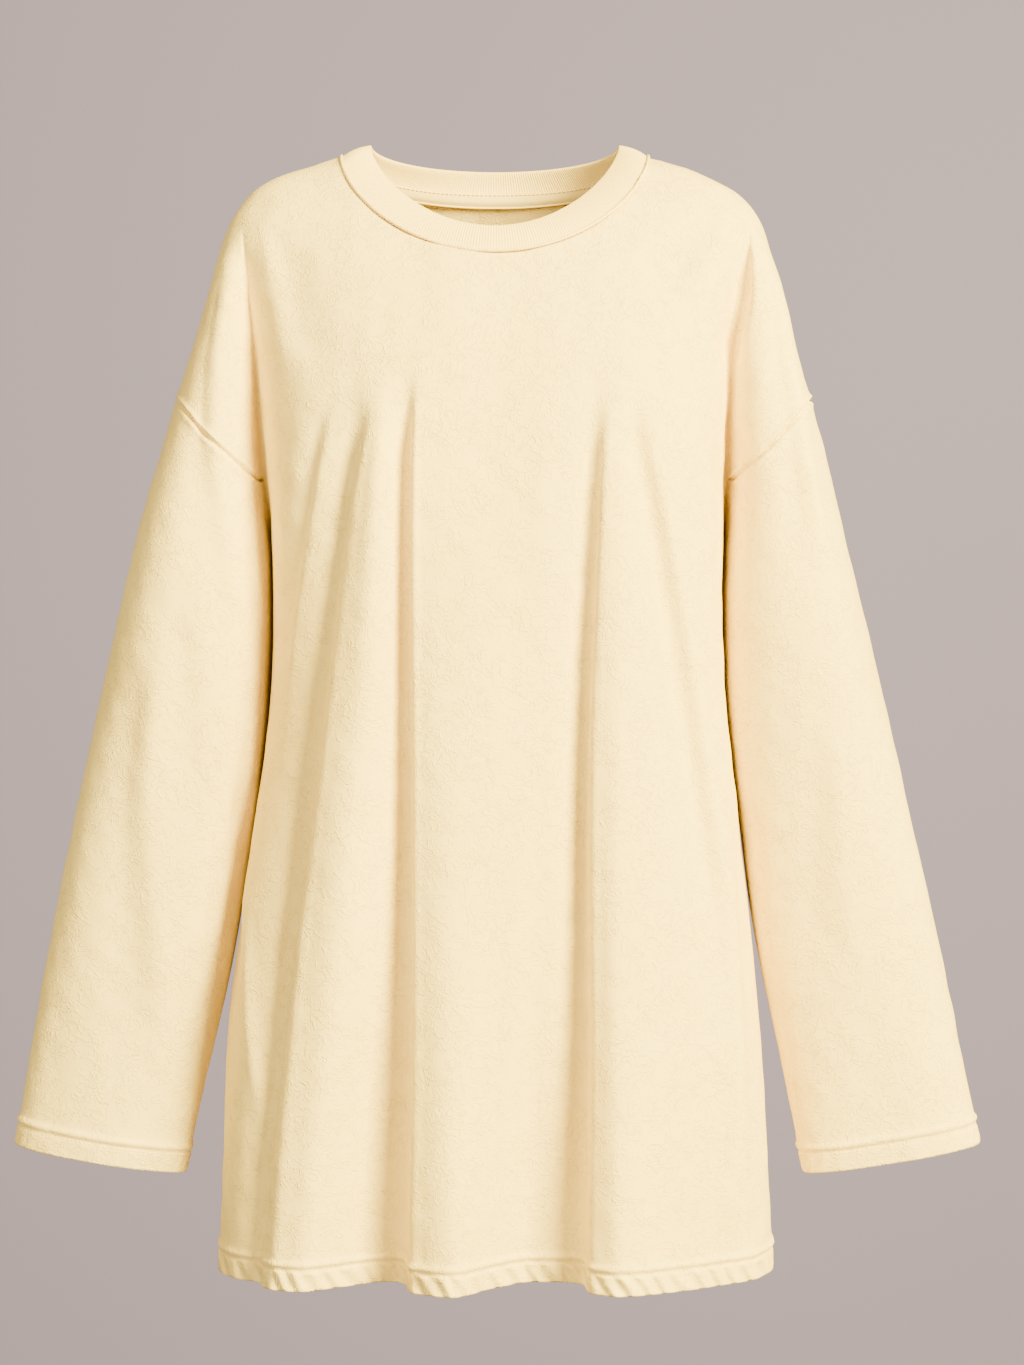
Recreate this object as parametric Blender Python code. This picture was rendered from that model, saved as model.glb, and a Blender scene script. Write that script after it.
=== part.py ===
# Long-sleeved t-shirt of cotton jersey, as it hangs when worn, hollow inside.
# Units are metres, +Z is up, the front faces -Y and +X is the viewer's right.
# The origin lies between the two high shoulder points, where the neck seam
# meets the shoulder seams.

import bpy
import bmesh
import numpy as np
from mathutils import Vector

# Driving sizes of the cloth
wallThickness = 0.0016
hemExtra = 0.0007
seamGap = 0.0003
hemDepth = 0.020
cuffDepth = 0.020

# Neck seam
neckHalfWidth = 0.109
neckDropFront = 0.079
neckDropBack = 0.020
neckRound = 1.15

# Ribbed collar: its upper ring and its wall
collarHalfWidth = 0.0885
collarTopSide = 0.009
collarTopFront = (-0.063, -0.059)
collarTopBack = (0.055, 0.001)
collarThickness = 0.0024
collarBulge = 0.0014
collarEase = {"depth": 0.85, "height": 1.3}

# Tape over the back neck seam
tapeAboveSeam = 0.006
tapeBelowSeam = 0.004
tapeThickness = 0.0008
tapeTurn = 80
tapeLean = 0.35

# Levels where the panels change, and the height over which the front's arm groove deepens
grooveTop = -0.046
grooveEase = 0.040
underarm = -0.270
hemLevel = -0.786
shoulderEnd = {"body": -0.044, "groove": -0.045, "arm": -0.046, "tip": -0.058}
seamTip = -0.175
seamAtGroove = -0.232
underarmSteps = (-0.250, -0.263)
seamShoulder = 0.0045
seamBow = 1.15
ringSpread = 0.13

# Squareness of the sections: 2 is an ellipse
bodySquare = 3.0
armSquare = 2.4

# Mesh density
bodyColumns = 20
neckColumns = 12
flapColumns = 7
upperRows = 11
bodyRows = 12
sleeveRows = 12
collarRows = 3
bandStep = 0.001

# Rows crowd towards the neck and the shoulder seam, and columns turn straight
# down sooner there
rowBend = {"centre": 1.0, "shoulder": 1.9, "tip": 1.2}
columnPull = {"centre": 1.0, "shoulder": 4.0}

# Points nearer than this are one point
snap = 0.000005


def table(names, rows):
    """Columns of a short table, by name, from the lowest level up."""
    rows = sorted(rows)
    return {name: np.array([row[i] for row in rows]) for i, name in enumerate(names)}


# Depth of the body in front of and behind the shoulder line, by height
bodyDepth = table(("z", "front", "back"), [
    (0.000, 0.014, 0.014),
    (-0.004, 0.022, 0.024),
    (-0.010, 0.032, 0.044),
    (-0.020, 0.041, 0.062),
    (-0.027, 0.046, 0.069),
    (-0.046, 0.058, 0.083),
    (-0.060, 0.065, 0.090),
    (-0.080, 0.073, 0.097),
    (-0.120, 0.088, 0.105),
    (-0.160, 0.102, 0.108),
    (-0.200, 0.109, 0.108),
    (-0.270, 0.111, 0.103),
    (-0.400, 0.108, 0.097),
    (-0.600, 0.105, 0.099),
    (-0.786, 0.104, 0.106),
])

# Side edge of the body, at the arm groove and then at the side seam
bodyEdge = table(("z", "left", "right"), [
    (-0.046, 0.1780, 0.1800),
    (-0.060, 0.1750, 0.1775),
    (-0.087, 0.1710, 0.1740),
    (-0.120, 0.1680, 0.1685),
    (-0.150, 0.1655, 0.1645),
    (-0.194, 0.1633, 0.1622),
    (-0.232, 0.1608, 0.1618),
    (-0.270, 0.1583, 0.1620),
    (-0.316, 0.1570, 0.1605),
    (-0.373, 0.1587, 0.1615),
    (-0.428, 0.1630, 0.1670),
    (-0.478, 0.1705, 0.1738),
    (-0.535, 0.1790, 0.1806),
    (-0.602, 0.1880, 0.1868),
    (-0.654, 0.1913, 0.1913),
    (-0.700, 0.1928, 0.1940),
    (-0.786, 0.1950, 0.1965),
])

# Shoulder line, then the outer line of the arm
armOuter = table(("z", "left", "right"), [
    (0.000, 0.1090, 0.1090),
    (-0.004, 0.1215, 0.1215),
    (-0.010, 0.1400, 0.1400),
    (-0.018, 0.1590, 0.1585),
    (-0.027, 0.1740, 0.1735),
    (-0.046, 0.1880, 0.1880),
    (-0.066, 0.1950, 0.1945),
    (-0.100, 0.2050, 0.2040),
    (-0.140, 0.2165, 0.2145),
    (-0.175, 0.2266, 0.2245),
    (-0.267, 0.2530, 0.2470),
    (-0.356, 0.2735, 0.2696),
    (-0.465, 0.2975, 0.2953),
    (-0.580, 0.3215, 0.3210),
    (-0.702, 0.3432, 0.3455),
])

# Inner line of the arm, at the groove and then along the underarm seam, the
# arm's half depth, and how far round the section goes before it meets the groove
armInner = table(("z", "left", "right", "depth", "turn"), [
    (-0.046, 0.1780, 0.1800, 0.038, 50),
    (-0.060, 0.1770, 0.1795, 0.040, 72),
    (-0.080, 0.1760, 0.1790, 0.045, 105),
    (-0.100, 0.1745, 0.1770, 0.051, 125),
    (-0.130, 0.1715, 0.1720, 0.057, 137),
    (-0.160, 0.1693, 0.1687, 0.062, 145.5),
    (-0.200, 0.1674, 0.1664, 0.066, 154),
    (-0.232, 0.1652, 0.1662, 0.068, 160),
    (-0.250, 0.1640, 0.1663, 0.0685, 165.9),
    (-0.263, 0.1631, 0.1664, 0.069, 171.8),
    (-0.270, 0.1627, 0.1664, 0.069, 178.2),
    (-0.300, 0.1600, 0.1634, 0.0685, 180),
    (-0.320, 0.1594, 0.1627, 0.068, 180),
    (-0.385, 0.1619, 0.1649, 0.064, 180),
    (-0.435, 0.1664, 0.1700, 0.060, 180),
    (-0.487, 0.1740, 0.1771, 0.055, 180),
    (-0.530, 0.1805, 0.1822, 0.050, 180),
    (-0.573, 0.1875, 0.1892, 0.0445, 180),
    (-0.616, 0.1968, 0.1982, 0.039, 180),
    (-0.659, 0.2070, 0.2070, 0.0345, 180),
    (-0.724, 0.2205, 0.2203, 0.029, 180),
])

# Cuff edge: height at the outer and the inner side of the arm
cuffLevel = {"outer": -0.702, "inner": -0.724}

# Hanging folds of the front: across the panel, where each one lies at four
# heights, and how far it stands out (+) or falls in (-) at the chest, the
# waist and the hem
foldLevels = (-0.160, -0.230, -0.475, -0.786)
frontFolds = table(("x160", "x230", "x475", "x786", "chest", "waist", "hem"), [
    (-0.152, -0.154, -0.166, -0.176, 0.000, 0.000, 0.000),
    (-0.094, -0.099, -0.131, -0.163, -0.002, -0.008, -0.001),
    (-0.086, -0.090, -0.121, -0.157, 0.004, 0.004, 0.009),
    (-0.076, -0.079, -0.100, -0.133, 0.006, 0.008, 0.010),
    (-0.066, -0.066, -0.070, -0.083, -0.001, -0.008, -0.027),
    (-0.059, -0.059, -0.061, -0.063, -0.004, -0.014, -0.021),
    (-0.050, -0.053, -0.054, -0.0545, 0.003, 0.000, 0.003),
    (-0.034, -0.034, -0.030, -0.029, 0.002, 0.006, 0.014),
    (0.000, 0.004, 0.012, 0.001, 0.000, -0.001, -0.014),
    (0.030, 0.031, 0.033, 0.026, 0.000, -0.007, -0.031),
    (0.069, 0.064, 0.060, 0.060, -0.003, -0.013, -0.020),
    (0.078, 0.074, 0.068, 0.0665, 0.004, 0.001, 0.003),
    (0.087, 0.084, 0.083, 0.083, 0.006, 0.008, 0.014),
    (0.096, 0.103, 0.138, 0.158, 0.001, 0.002, 0.000),
    (0.108, 0.117, 0.150, 0.178, 0.004, 0.004, 0.002),
    (0.152, 0.154, 0.166, 0.186, 0.000, 0.000, 0.000),
])

# The same for the back, which hangs from the shoulder blades
backFolds = table(("x160", "x230", "x475", "x786", "chest", "waist", "hem"), [
    (-0.152, -0.154, -0.166, -0.180, 0.000, 0.000, 0.000),
    (-0.105, -0.112, -0.130, -0.146, 0.002, 0.007, 0.013),
    (-0.080, -0.084, -0.094, -0.104, -0.001, -0.007, -0.016),
    (-0.068, -0.071, -0.080, -0.090, 0.001, 0.002, 0.002),
    (-0.048, -0.050, -0.056, -0.062, 0.002, 0.007, 0.013),
    (0.000, -0.002, -0.006, -0.010, 0.000, -0.005, -0.018),
    (0.040, 0.042, 0.044, 0.046, 0.002, 0.007, 0.014),
    (0.062, 0.065, 0.072, 0.078, 0.000, -0.007, -0.015),
    (0.074, 0.077, 0.086, 0.094, 0.001, 0.002, 0.003),
    (0.100, 0.106, 0.124, 0.138, 0.002, 0.006, 0.012),
    (0.152, 0.154, 0.166, 0.182, 0.000, 0.000, 0.000),
])


def smoothThrough(knots, values, where):
    """Smooth curve through knots without overshoot; it stays level past the ends."""
    where = np.asarray(where, dtype=float)
    shape = where.shape
    where = where.reshape(-1)
    knots = np.asarray(knots, dtype=float)
    values = np.asarray(values, dtype=float)
    if knots.ndim == 1:
        knots = knots[:, None]
    if values.ndim == 1:
        values = values[:, None]
    knots = np.broadcast_to(knots, (knots.shape[0], where.size))
    values = np.broadcast_to(values, (values.shape[0], where.size))
    step = np.diff(knots, axis=0)
    rise = np.diff(values, axis=0) / step
    slope = np.zeros(knots.shape)
    agree = rise[:-1] * rise[1:] > 0
    total = np.where(agree, rise[:-1] + rise[1:], 1.0)
    slope[1:-1] = np.where(agree, 2 * rise[:-1] * rise[1:] / total, 0.0)
    slope[0] = rise[0]
    slope[-1] = rise[-1]
    low = np.clip((where >= knots).sum(axis=0) - 1, 0, len(knots) - 2)[None, :]

    def take(data, index):
        return np.take_along_axis(data, index, axis=0)[0]

    span = take(step, low)
    t = np.clip((where - take(knots, low)) / span, 0.0, 1.0)
    result = ((1 + 2 * t) * (1 - t) ** 2 * take(values, low)
              + t * (1 - t) ** 2 * span * take(slope, low)
              + t * t * (3 - 2 * t) * take(values, low + 1)
              + t * t * (t - 1) * span * take(slope, low + 1))
    return result.reshape(shape)


def read(data, name, z):
    return smoothThrough(data["z"], data[name], z)


def ease(low, high, value):
    t = np.clip((np.asarray(value, dtype=float) - low) / (high - low), 0.0, 1.0)
    return t * t * (3 - 2 * t)


def between(data, first, last, share):
    return data[first] + (data[last] - data[first]) * share


def roundPoint(turn, square):
    """Point of a unit squared circle in the direction of an angle in degrees."""
    across = np.sin(np.radians(turn))
    along = np.cos(np.radians(turn))
    size = (np.abs(across) ** square + np.abs(along) ** square) ** (1 / square)
    return across / size, along / size


def otherLeg(value, square):
    return np.clip(1 - np.abs(value) ** square, 0.0, None) ** (1 / square)


def armShape(side, z):
    """Centre and half width of the arm's section, and its half depth."""
    turn = read(armInner, "turn", z)
    depth = read(armInner, "depth", z)
    reach = roundPoint(turn, armSquare)[1]
    outer = read(armOuter, side, z)
    width = (outer - read(armInner, side, z)) / (1 - reach)
    return outer - width, width, depth, turn


def grooveDepth(z):
    """How far the groove's two lips stand off the shoulder line."""
    turn = read(armInner, "turn", z)
    return read(armInner, "depth", z) * roundPoint(turn, armSquare)[0]


def bodyShape(side, face, z):
    """Half width and depth of the body's section, and the turn where it ends."""
    z = np.asarray(z, dtype=float)
    level = np.minimum(z, grooveTop)
    ratio = np.clip(grooveDepth(level) / read(bodyDepth, face, level), 0.0, 0.999)
    reach = otherLeg(ratio, bodySquare)
    width = np.where(z > grooveTop, read(armOuter, side, z), read(bodyEdge, side, z) / reach)
    return width, read(bodyDepth, face, z), np.degrees(np.arctan2(reach, ratio))


def surfaceDepth(side, face, x, z):
    """Distance of the cloth from the plane y = 0, above the underarm."""
    x, z = np.broadcast_arrays(np.asarray(x, dtype=float), np.asarray(z, dtype=float))
    width, depth = bodyShape(side, face, z)[:2]
    body = depth * otherLeg(np.clip(x / width, 0.0, 1.0), bodySquare)
    centre, armWidth, armDepth = armShape(side, z)[:3]
    arm = armDepth * otherLeg(np.clip((x - centre) / armWidth, -1.0, 1.0), armSquare)
    inner = read(armInner, side, z)
    edge = read(bodyEdge, side, z)
    radius = np.maximum((inner - edge) / 2, 1e-6)
    middle = (inner + edge) / 2
    groove = grooveDepth(z) - radius * otherLeg(np.clip((x - middle) / radius, -1.0, 1.0), 2)
    groove = np.maximum(groove, 0.0)
    deep = np.where(x >= inner, arm, np.where(x > edge, groove, body))
    if face == "front":
        wide = depth * otherLeg(np.clip(x / read(armOuter, side, z), 0.0, 1.0), bodySquare)
        start = ease(-grooveTop, grooveEase - grooveTop, -z)
        deep = wide + (deep - wide) * start
    return np.where(z > grooveTop, body, deep)


def foldOffset(face, x, z):
    """How far the hanging folds move the cloth out at a place of the body."""
    folds = frontFolds if face == "front" else backFolds
    x, z = np.broadcast_arrays(np.asarray(x, dtype=float), np.asarray(z, dtype=float))
    levels = np.array(foldLevels)[::-1]
    lines = np.stack([folds[name] for name in ("x786", "x475", "x230", "x160")])
    heights = np.stack([folds["hem"], folds["waist"], folds["chest"], folds["chest"] * 0.0])
    flat = z.reshape(-1)
    knots = np.stack([smoothThrough(levels, lines[:, k], flat) for k in range(lines.shape[1])])
    values = np.stack([smoothThrough(levels, heights[:, k], flat) for k in range(lines.shape[1])])
    return smoothThrough(knots, values, x.reshape(-1)).reshape(x.shape)


def bodyPoint(face, signedX, z, side=None):
    """A point of the front or back panel at a place across the body."""
    signedX, z = np.broadcast_arrays(np.asarray(signedX, dtype=float), np.asarray(z, dtype=float))
    forward = -1.0 if face == "front" else 1.0
    points = np.zeros(signedX.shape + (3,))
    for name, sign in (("left", -1.0), ("right", 1.0)):
        chosen = (signedX * sign > 0) | ((signedX == 0) & (sign > 0))
        if side is not None:
            chosen = np.full(signedX.shape, side == name)
        if not chosen.any():
            continue
        x = np.abs(signedX[chosen])
        height = z[chosen]
        width, depth = bodyShape(name, face, height)[:2]
        y = surfaceDepth(name, face, x, height)
        ratioX = np.clip(x / width, 0.0, 1.0)
        ratioY = np.clip(y / depth, 0.0, 1.0)
        normalX = ratioX ** (bodySquare - 1) / width
        normalY = ratioY ** (bodySquare - 1) / depth
        length = np.sqrt(normalX ** 2 + normalY ** 2)
        out = foldOffset(face, x * sign, height)
        points[chosen, 0] = sign * (x + out * normalX / length)
        points[chosen, 1] = forward * (y + out * normalY / length)
        points[chosen, 2] = height
    return points


def armPoint(side, face, turn, z):
    """A point of the arm's section: turn 0 is its outer line, 180 its inner one."""
    sign = -1.0 if side == "left" else 1.0
    forward = -1.0 if face == "front" else 1.0
    centre, width, depth = armShape(side, z)[:3]
    y, x = roundPoint(turn, armSquare)
    return np.stack([sign * (centre + width * x), forward * depth * y,
                     np.broadcast_to(z, np.shape(y))], axis=-1)


def shoulderX(side, z):
    return read(armOuter, side, z)


def neckLine(face, turn):
    """Place across and height of the neck seam: turn 0 is the centre, 90 the shoulder."""
    drop = neckDropFront if face == "front" else neckDropBack
    height = -drop * np.abs(np.cos(np.radians(turn))) ** neckRound
    return neckHalfWidth * np.sin(np.radians(turn)), height


def shoulderLevel(side, x):
    """Height of the shoulder seam at a place across."""
    levels = np.linspace(shoulderEnd["body"], 0.0, 200)[::-1]
    return np.interp(x, shoulderX(side, levels), levels)


def flapLevels():
    """Heights of the flap's lower edge, the armhole seam, from the groove to the tip."""
    turnEnd = float(read(armInner, "turn", seamAtGroove))
    turns = turnEnd * (1 - np.arange(flapColumns + 1) / flapColumns)
    reach = roundPoint(turns, armSquare)[1]
    share = (1 - reach) / (1 - reach[0])
    return seamTip + (seamAtGroove - seamTip) * share ** seamBow


def panelColumns(side, face):
    """Upper end, lower end and row spacing of each column, centre to shoulder tip."""
    columns = []
    neckShare = neckColumns / bodyColumns
    for j in range(bodyColumns + 1):
        share = j / bodyColumns
        if j <= neckColumns:
            x, top = neckLine(face, 90 * j / neckColumns)
        else:
            part = (share - neckShare) / (1 - neckShare)
            end = float(shoulderX(side, shoulderEnd["body"]))
            x = neckHalfWidth + (end - neckHalfWidth) * part
            top = float(shoulderLevel(side, x))
        bend = between(rowBend, "centre", "shoulder", float(ease(0.2, neckShare, share)))
        beyond = max(0.0, (share - neckShare) / (1 - neckShare))
        pull = between(columnPull, "centre", "shoulder", beyond)
        columns.append({"kind": "body", "share": share, "x": float(x), "top": float(top),
                        "end": seamAtGroove, "bend": bend, "pull": pull})
    pull = columnPull["shoulder"]
    columns.append({"kind": "groove", "top": shoulderEnd["groove"], "end": seamAtGroove,
                    "bend": rowBend["shoulder"], "pull": pull})
    levels = flapLevels()
    for j in range(flapColumns + 1):
        part = j / flapColumns
        top = between(shoulderEnd, "arm", "tip", part)
        bend = between(rowBend, "shoulder", "tip", part)
        columns.append({"kind": "flap", "part": part, "top": top, "end": float(levels[j]),
                        "bend": bend, "pull": pull})
    return columns


def bodyPlace(side, face, share, z):
    """Place across of a column of the body's section."""
    width, _, end = bodyShape(side, face, z)
    return float(width * roundPoint(share * end, bodySquare)[0])


def upperPoint(side, face, column, row):
    """A point of the panel between the neck or shoulder and the armhole seam."""
    share = row / upperRows
    z = column["top"] + (column["end"] - column["top"]) * share ** column["bend"]
    weight = min(1.0, share * column["pull"])
    sign = -1.0 if side == "left" else 1.0
    if column["kind"] == "body":
        place = bodyPlace(side, face, column["share"], column["end"])
        follow = float(ease(0.6, 1.0, column["share"]))
        place += (bodyPlace(side, face, column["share"], z) - place) * follow
        x = column["x"] + (place - column["x"]) * weight
        x = min(x, float(shoulderX(side, z)))
        return bodyPoint(face, sign * x, z, side)
    level = min(z, grooveTop)
    if column["kind"] == "groove":
        x = float(read(armInner, side, level) + read(bodyEdge, side, level)) / 2
    else:
        centre, width, _, turn = armShape(side, level)
        x = float(centre + width * roundPoint(turn * (1 - column["part"]), armSquare)[1])
    outer = float(shoulderX(side, z))
    x = outer - (outer - x) * weight
    atCrest = row == 0 or column.get("part") == 1
    y = 0.0 if atCrest else float(surfaceDepth(side, face, x, z))
    return np.array([sign * x, -y if face == "front" else y, z])


def lowerLevels():
    """Heights of the body's rows under the armhole seam."""
    under = underarmSteps + (underarm,)
    hemTop = hemLevel + hemDepth
    body = np.linspace(underarm, hemTop + bandStep, bodyRows + 1)[1:]
    return list(under) + [underarm - seamShoulder] + list(body) + [hemTop - bandStep, hemLevel]


def lowerPoint(side, face, column, z):
    """A point of the body's panel under the armhole seam."""
    sign = -1.0 if side == "left" else 1.0
    forward = -1.0 if face == "front" else 1.0
    edge = float(read(bodyEdge, side, z))
    if column["kind"] == "groove":
        if z > underarm - 1e-6:
            inner = float(read(armInner, side, z))
            y = max(float(grooveDepth(z)) - (inner - edge) / 2, 0.0)
            return np.array([sign * (inner + edge) / 2, forward * y, z])
        return np.array([sign * edge, 0.0, z])
    share = column["share"]
    share *= 1 - 0.5 / bodyColumns * float(ease(-underarm, 0.05 - underarm, -z))
    return bodyPoint(face, sign * bodyPlace(side, face, share, z), z, side)


class Skin:
    """Points and faces of the whole garment's outer surface, joined at the seams."""

    def __init__(self):
        self.points = []
        self.turnedUp = []
        self.lookup = {}
        self.faces = {}

    def add(self, point, turnedUp=False):
        """Number of a point; cloth that is turned up at a hem or cuff is thicker."""
        key = tuple(int(round(value / snap)) for value in point)
        if key not in self.lookup:
            self.lookup[key] = len(self.points)
            self.points.append(np.array(point, dtype=float))
            self.turnedUp.append(turnedUp)
        return self.lookup[key]

    def smallest(self, loops):
        """Area of the smallest of some triangles."""
        sides = [(self.points[b] - self.points[a], self.points[c] - self.points[a])
                 for a, b, c in loops]
        return min(np.linalg.norm(np.cross(one, two)) for one, two in sides)

    def normalNear(self, point):
        """Outward direction at the surface's own point next to a place."""
        return self.normals[np.argmin(np.linalg.norm(self.points - point, axis=1))]

    def strip(self, piece, grid, flip):
        """Triangles between the rows of a grid of point numbers."""
        for upper, lower in zip(grid[:-1], grid[1:]):
            for k in range(len(upper) - 1):
                a, b, c, d = upper[k], lower[k], lower[k + 1], upper[k + 1]
                one = [[a, b, c], [a, c, d]]
                two = [[a, b, d], [b, c, d]]
                halves = two if self.smallest(two) > 2 * self.smallest(one) else one
                for loop in halves:
                    if len(set(loop)) == 3:
                        self.faces.setdefault(piece, []).append(loop[::-1] if flip else loop)


def addPanel(skin, face):
    """Front or back panel: body and the two flaps that reach out over the arms."""
    halves = {}
    for side in ("left", "right"):
        columns = panelColumns(side, face)
        upper = [[skin.add(upperPoint(side, face, column, row)) for column in columns]
                 for row in range(upperRows + 1)]
        bodyPart = columns[:bodyColumns + 2]
        hemTop = hemLevel + hemDepth
        lower = [[skin.add(lowerPoint(side, face, column, z), z < hemTop) for column in bodyPart]
                 for z in lowerLevels()]
        halves[side] = (upper, lower)
    for side in ("left", "right"):
        upper, lower = halves[side]
        flip = (side == "left") == (face == "front")
        skin.strip(face, upper, flip)
        skin.strip(face, [upper[-1][:bodyColumns + 2]] + lower, flip)


def ringPoints(side, face):
    """The armhole seam from the shoulder tip round to the underarm."""
    columns = panelColumns(side, face)
    ring = [upperPoint(side, face, column, upperRows) for column in columns[bodyColumns + 1:]]
    ring = ring[::-1]
    for z in underarmSteps + (underarm,):
        ring.append(lowerPoint(side, face, columns[bodyColumns + 1], z))
    return ring


def sleevePoint(side, face, ringPart, part, top, share):
    """A point of the sleeve between its armhole ring and its cuff."""
    outer, inner = cuffLevel["outer"], cuffLevel["inner"]
    bottom = outer + (inner - outer) * (1 - np.cos(np.radians(180 * part))) / 2
    z = top + (bottom - top) * share
    spread = min(1.0, share / ringSpread)
    end = 180.0 if z < underarm - 1e-6 else float(read(armInner, "turn", z))
    turn = (ringPart + (part - ringPart) * spread) * end
    return armPoint(side, face, turn, np.float64(z))


def addSleeve(skin, side):
    """A sleeve: rows from the armhole seam down to the cuff, front and back."""
    drop = abs(cuffLevel["outer"] - seamTip)
    band = 1 - cuffDepth / drop
    shares = np.linspace(0, band - bandStep / drop, sleeveRows + 1)
    shares = [0.0, seamShoulder / drop] + list(shares[1:]) + [band + bandStep / drop, 1.0]
    for face in ("front", "back"):
        ring = ringPoints(side, face)
        count = len(ring) - 1
        grid = []
        for row, share in enumerate(shares):
            line = []
            for k, start in enumerate(ring):
                if row == 0:
                    line.append(skin.add(start))
                    continue
                ringPart = min(1.0, k / flapColumns)
                point = sleevePoint(side, face, ringPart, k / count, start[2], share)
                line.append(skin.add(point, share > band))
            grid.append(line)
        flip = (side == "left") != (face == "front")
        skin.strip("sleeve_" + side, grid, flip)


def vertexNormals(points, faces):
    """Outward directions, each face weighed by its angle at the point."""
    normals = np.zeros_like(points)
    for loop in faces:
        corner = points[loop]
        face = np.cross(corner[1] - corner[0], corner[2] - corner[0])
        face /= max(np.linalg.norm(face), 1e-15)
        for k, index in enumerate(loop):
            one = corner[k - 1] - corner[k]
            two = corner[(k + 1) % 3] - corner[k]
            cosine = one.dot(two) / (np.linalg.norm(one) * np.linalg.norm(two))
            normals[index] += face * np.arccos(np.clip(cosine, -1.0, 1.0))
    return normals / np.maximum(np.linalg.norm(normals, axis=1), 1e-12)[:, None]


def pulledIn(points, faces, gap):
    """Points of one piece with its edges drawn back by half a seam gap."""
    count = {}
    for loop in faces:
        for a, b in zip(loop, loop[1:] + loop[:1]):
            key = (min(a, b), max(a, b))
            count.setdefault(key, []).append(loop)
    moved = points.copy()
    edges = {}
    for (a, b), owners in count.items():
        if len(owners) == 1:
            edges.setdefault(a, []).append((b, owners[0]))
            edges.setdefault(b, []).append((a, owners[0]))
    for index, around in edges.items():
        shift = np.zeros(3)
        for other, loop in around:
            along = points[other] - points[index]
            along /= np.linalg.norm(along)
            inward = points[loop].mean(axis=0) - points[index]
            inward -= along * inward.dot(along)
            shift += inward / np.linalg.norm(inward)
        length = np.linalg.norm(shift)
        if length > 1e-6:
            moved[index] += shift / length * (gap / 2)
    return moved


def newMaterial(name, color, roughness):
    material = bpy.data.materials.new(name)
    material.use_nodes = True
    shader = material.node_tree.nodes["Principled BSDF"]
    shader.inputs["Base Color"].default_value = (*color, 1)
    shader.inputs["Roughness"].default_value = roughness
    shader.inputs["Metallic"].default_value = 0.0
    return material


def newPiece(name, outer, inner, faces, material, collection):
    """A closed wall from an outer surface, its inner points and the rim between."""
    used = sorted({index for loop in faces for index in loop})
    mesh = bpy.data.meshes.new(name)
    work = bmesh.new()
    outside = {index: work.verts.new(Vector(outer[index])) for index in used}
    inside = {index: work.verts.new(Vector(inner[index])) for index in used}
    rim = {}
    for loop in faces:
        work.faces.new([outside[index] for index in loop])
        work.faces.new([inside[index] for index in reversed(loop)])
        for a, b in zip(loop, loop[1:] + loop[:1]):
            if (b, a) in rim:
                del rim[(b, a)]
            else:
                rim[(a, b)] = True
    for a, b in rim:
        first, second = (a, b) if a < b else (b, a)
        apart = [[outside[b], outside[a], inside[second]], [outside[first], inside[a], inside[b]]]
        for corners in apart:
            work.faces.new(corners)
    work.to_mesh(mesh)
    work.free()
    mesh.shade_smooth()
    mesh.materials.append(material)
    piece = bpy.data.objects.new(name, mesh)
    collection.objects.link(piece)
    return piece


def makeSkin():
    skin = Skin()
    for face in ("front", "back"):
        addPanel(skin, face)
    for side in ("left", "right"):
        addSleeve(skin, side)
    skin.points = np.array(skin.points)
    everything = [loop for loops in skin.faces.values() for loop in loops]
    skin.normals = vertexNormals(skin.points, everything)
    return skin


def makePanels(skin, collection, jersey):
    points, normals = skin.points, skin.normals
    thick = np.where(skin.turnedUp, hemExtra, 0.0)
    for piece, loops in skin.faces.items():
        outer = points + normals * thick[:, None]
        outer = pulledIn(outer, loops, seamGap)
        inner = outer - normals * (wallThickness + thick)[:, None]
        newPiece(piece, outer, inner, loops, jersey, collection)


def collarRings():
    """Lower and upper ring of the neck band's outer face, once round the neck."""
    lower, upper = [], []
    count = 2 * neckColumns
    for k in range(2 * count):
        turn = 180 * k / count
        face = "front" if turn <= 90 or turn >= 270 else "back"
        local = (turn + 180) % 360 - 180
        if face == "back":
            local = 180 - turn
        x, z = neckLine(face, local)
        side = "left" if x < 0 else "right"
        seam = bodyPoint(face, x, min(float(z), -1e-5), side)
        lower.append(seam)
        y0, z0 = collarTopFront if face == "front" else collarTopBack
        fall = np.cos(np.radians(local))
        y = y0 * fall ** collarEase["depth"]
        z = collarTopSide + (z0 - collarTopSide) * fall ** collarEase["height"]
        upper.append(np.array([collarHalfWidth * np.sin(np.radians(local)), y, z]))
    return np.array(lower), np.array(upper)


def ringNormals(lower, upper):
    """Outward direction of the neck band at each place round it."""
    along = np.roll(upper, -1, axis=0) - np.roll(upper, 1, axis=0)
    across = upper - lower
    normal = np.cross(across, along)
    normal /= np.linalg.norm(normal, axis=1)[:, None]
    centre = upper.mean(axis=0)
    outward = ((lower - centre) * normal).sum(axis=1)
    return normal * np.sign(outward)[:, None]


def makeCollar(skin, collection, rib):
    """The neck band; gives its rings' directions and its inner points, row by row."""
    lower, upper = collarRings()
    normal = ringNormals(lower, upper)
    across = upper - lower
    height = np.linalg.norm(across, axis=1)[:, None]
    start = lower + across / height * (seamGap / 2)
    seamNormal = np.array([skin.normalNear(point) for point in lower])
    outer, inner, faces = [start], [start - seamNormal * wallThickness], []
    for row in range(collarRows):
        share = (row + 1) / collarRows
        bulge = collarBulge * np.sin(np.pi * share)
        ring = start + (upper - start) * share + normal * bulge
        outer.append(ring)
        inner.append(ring - normal * collarThickness)
    count = len(lower)
    for row in range(collarRows):
        for k in range(count):
            a = row * count + k
            b = row * count + (k + 1) % count
            faces.append([a, b, b + count])
            faces.append([a, b + count, a + count])
    newPiece("collar", np.concatenate(outer), np.concatenate(inner), faces, rib, collection)
    return normal, inner


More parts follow.
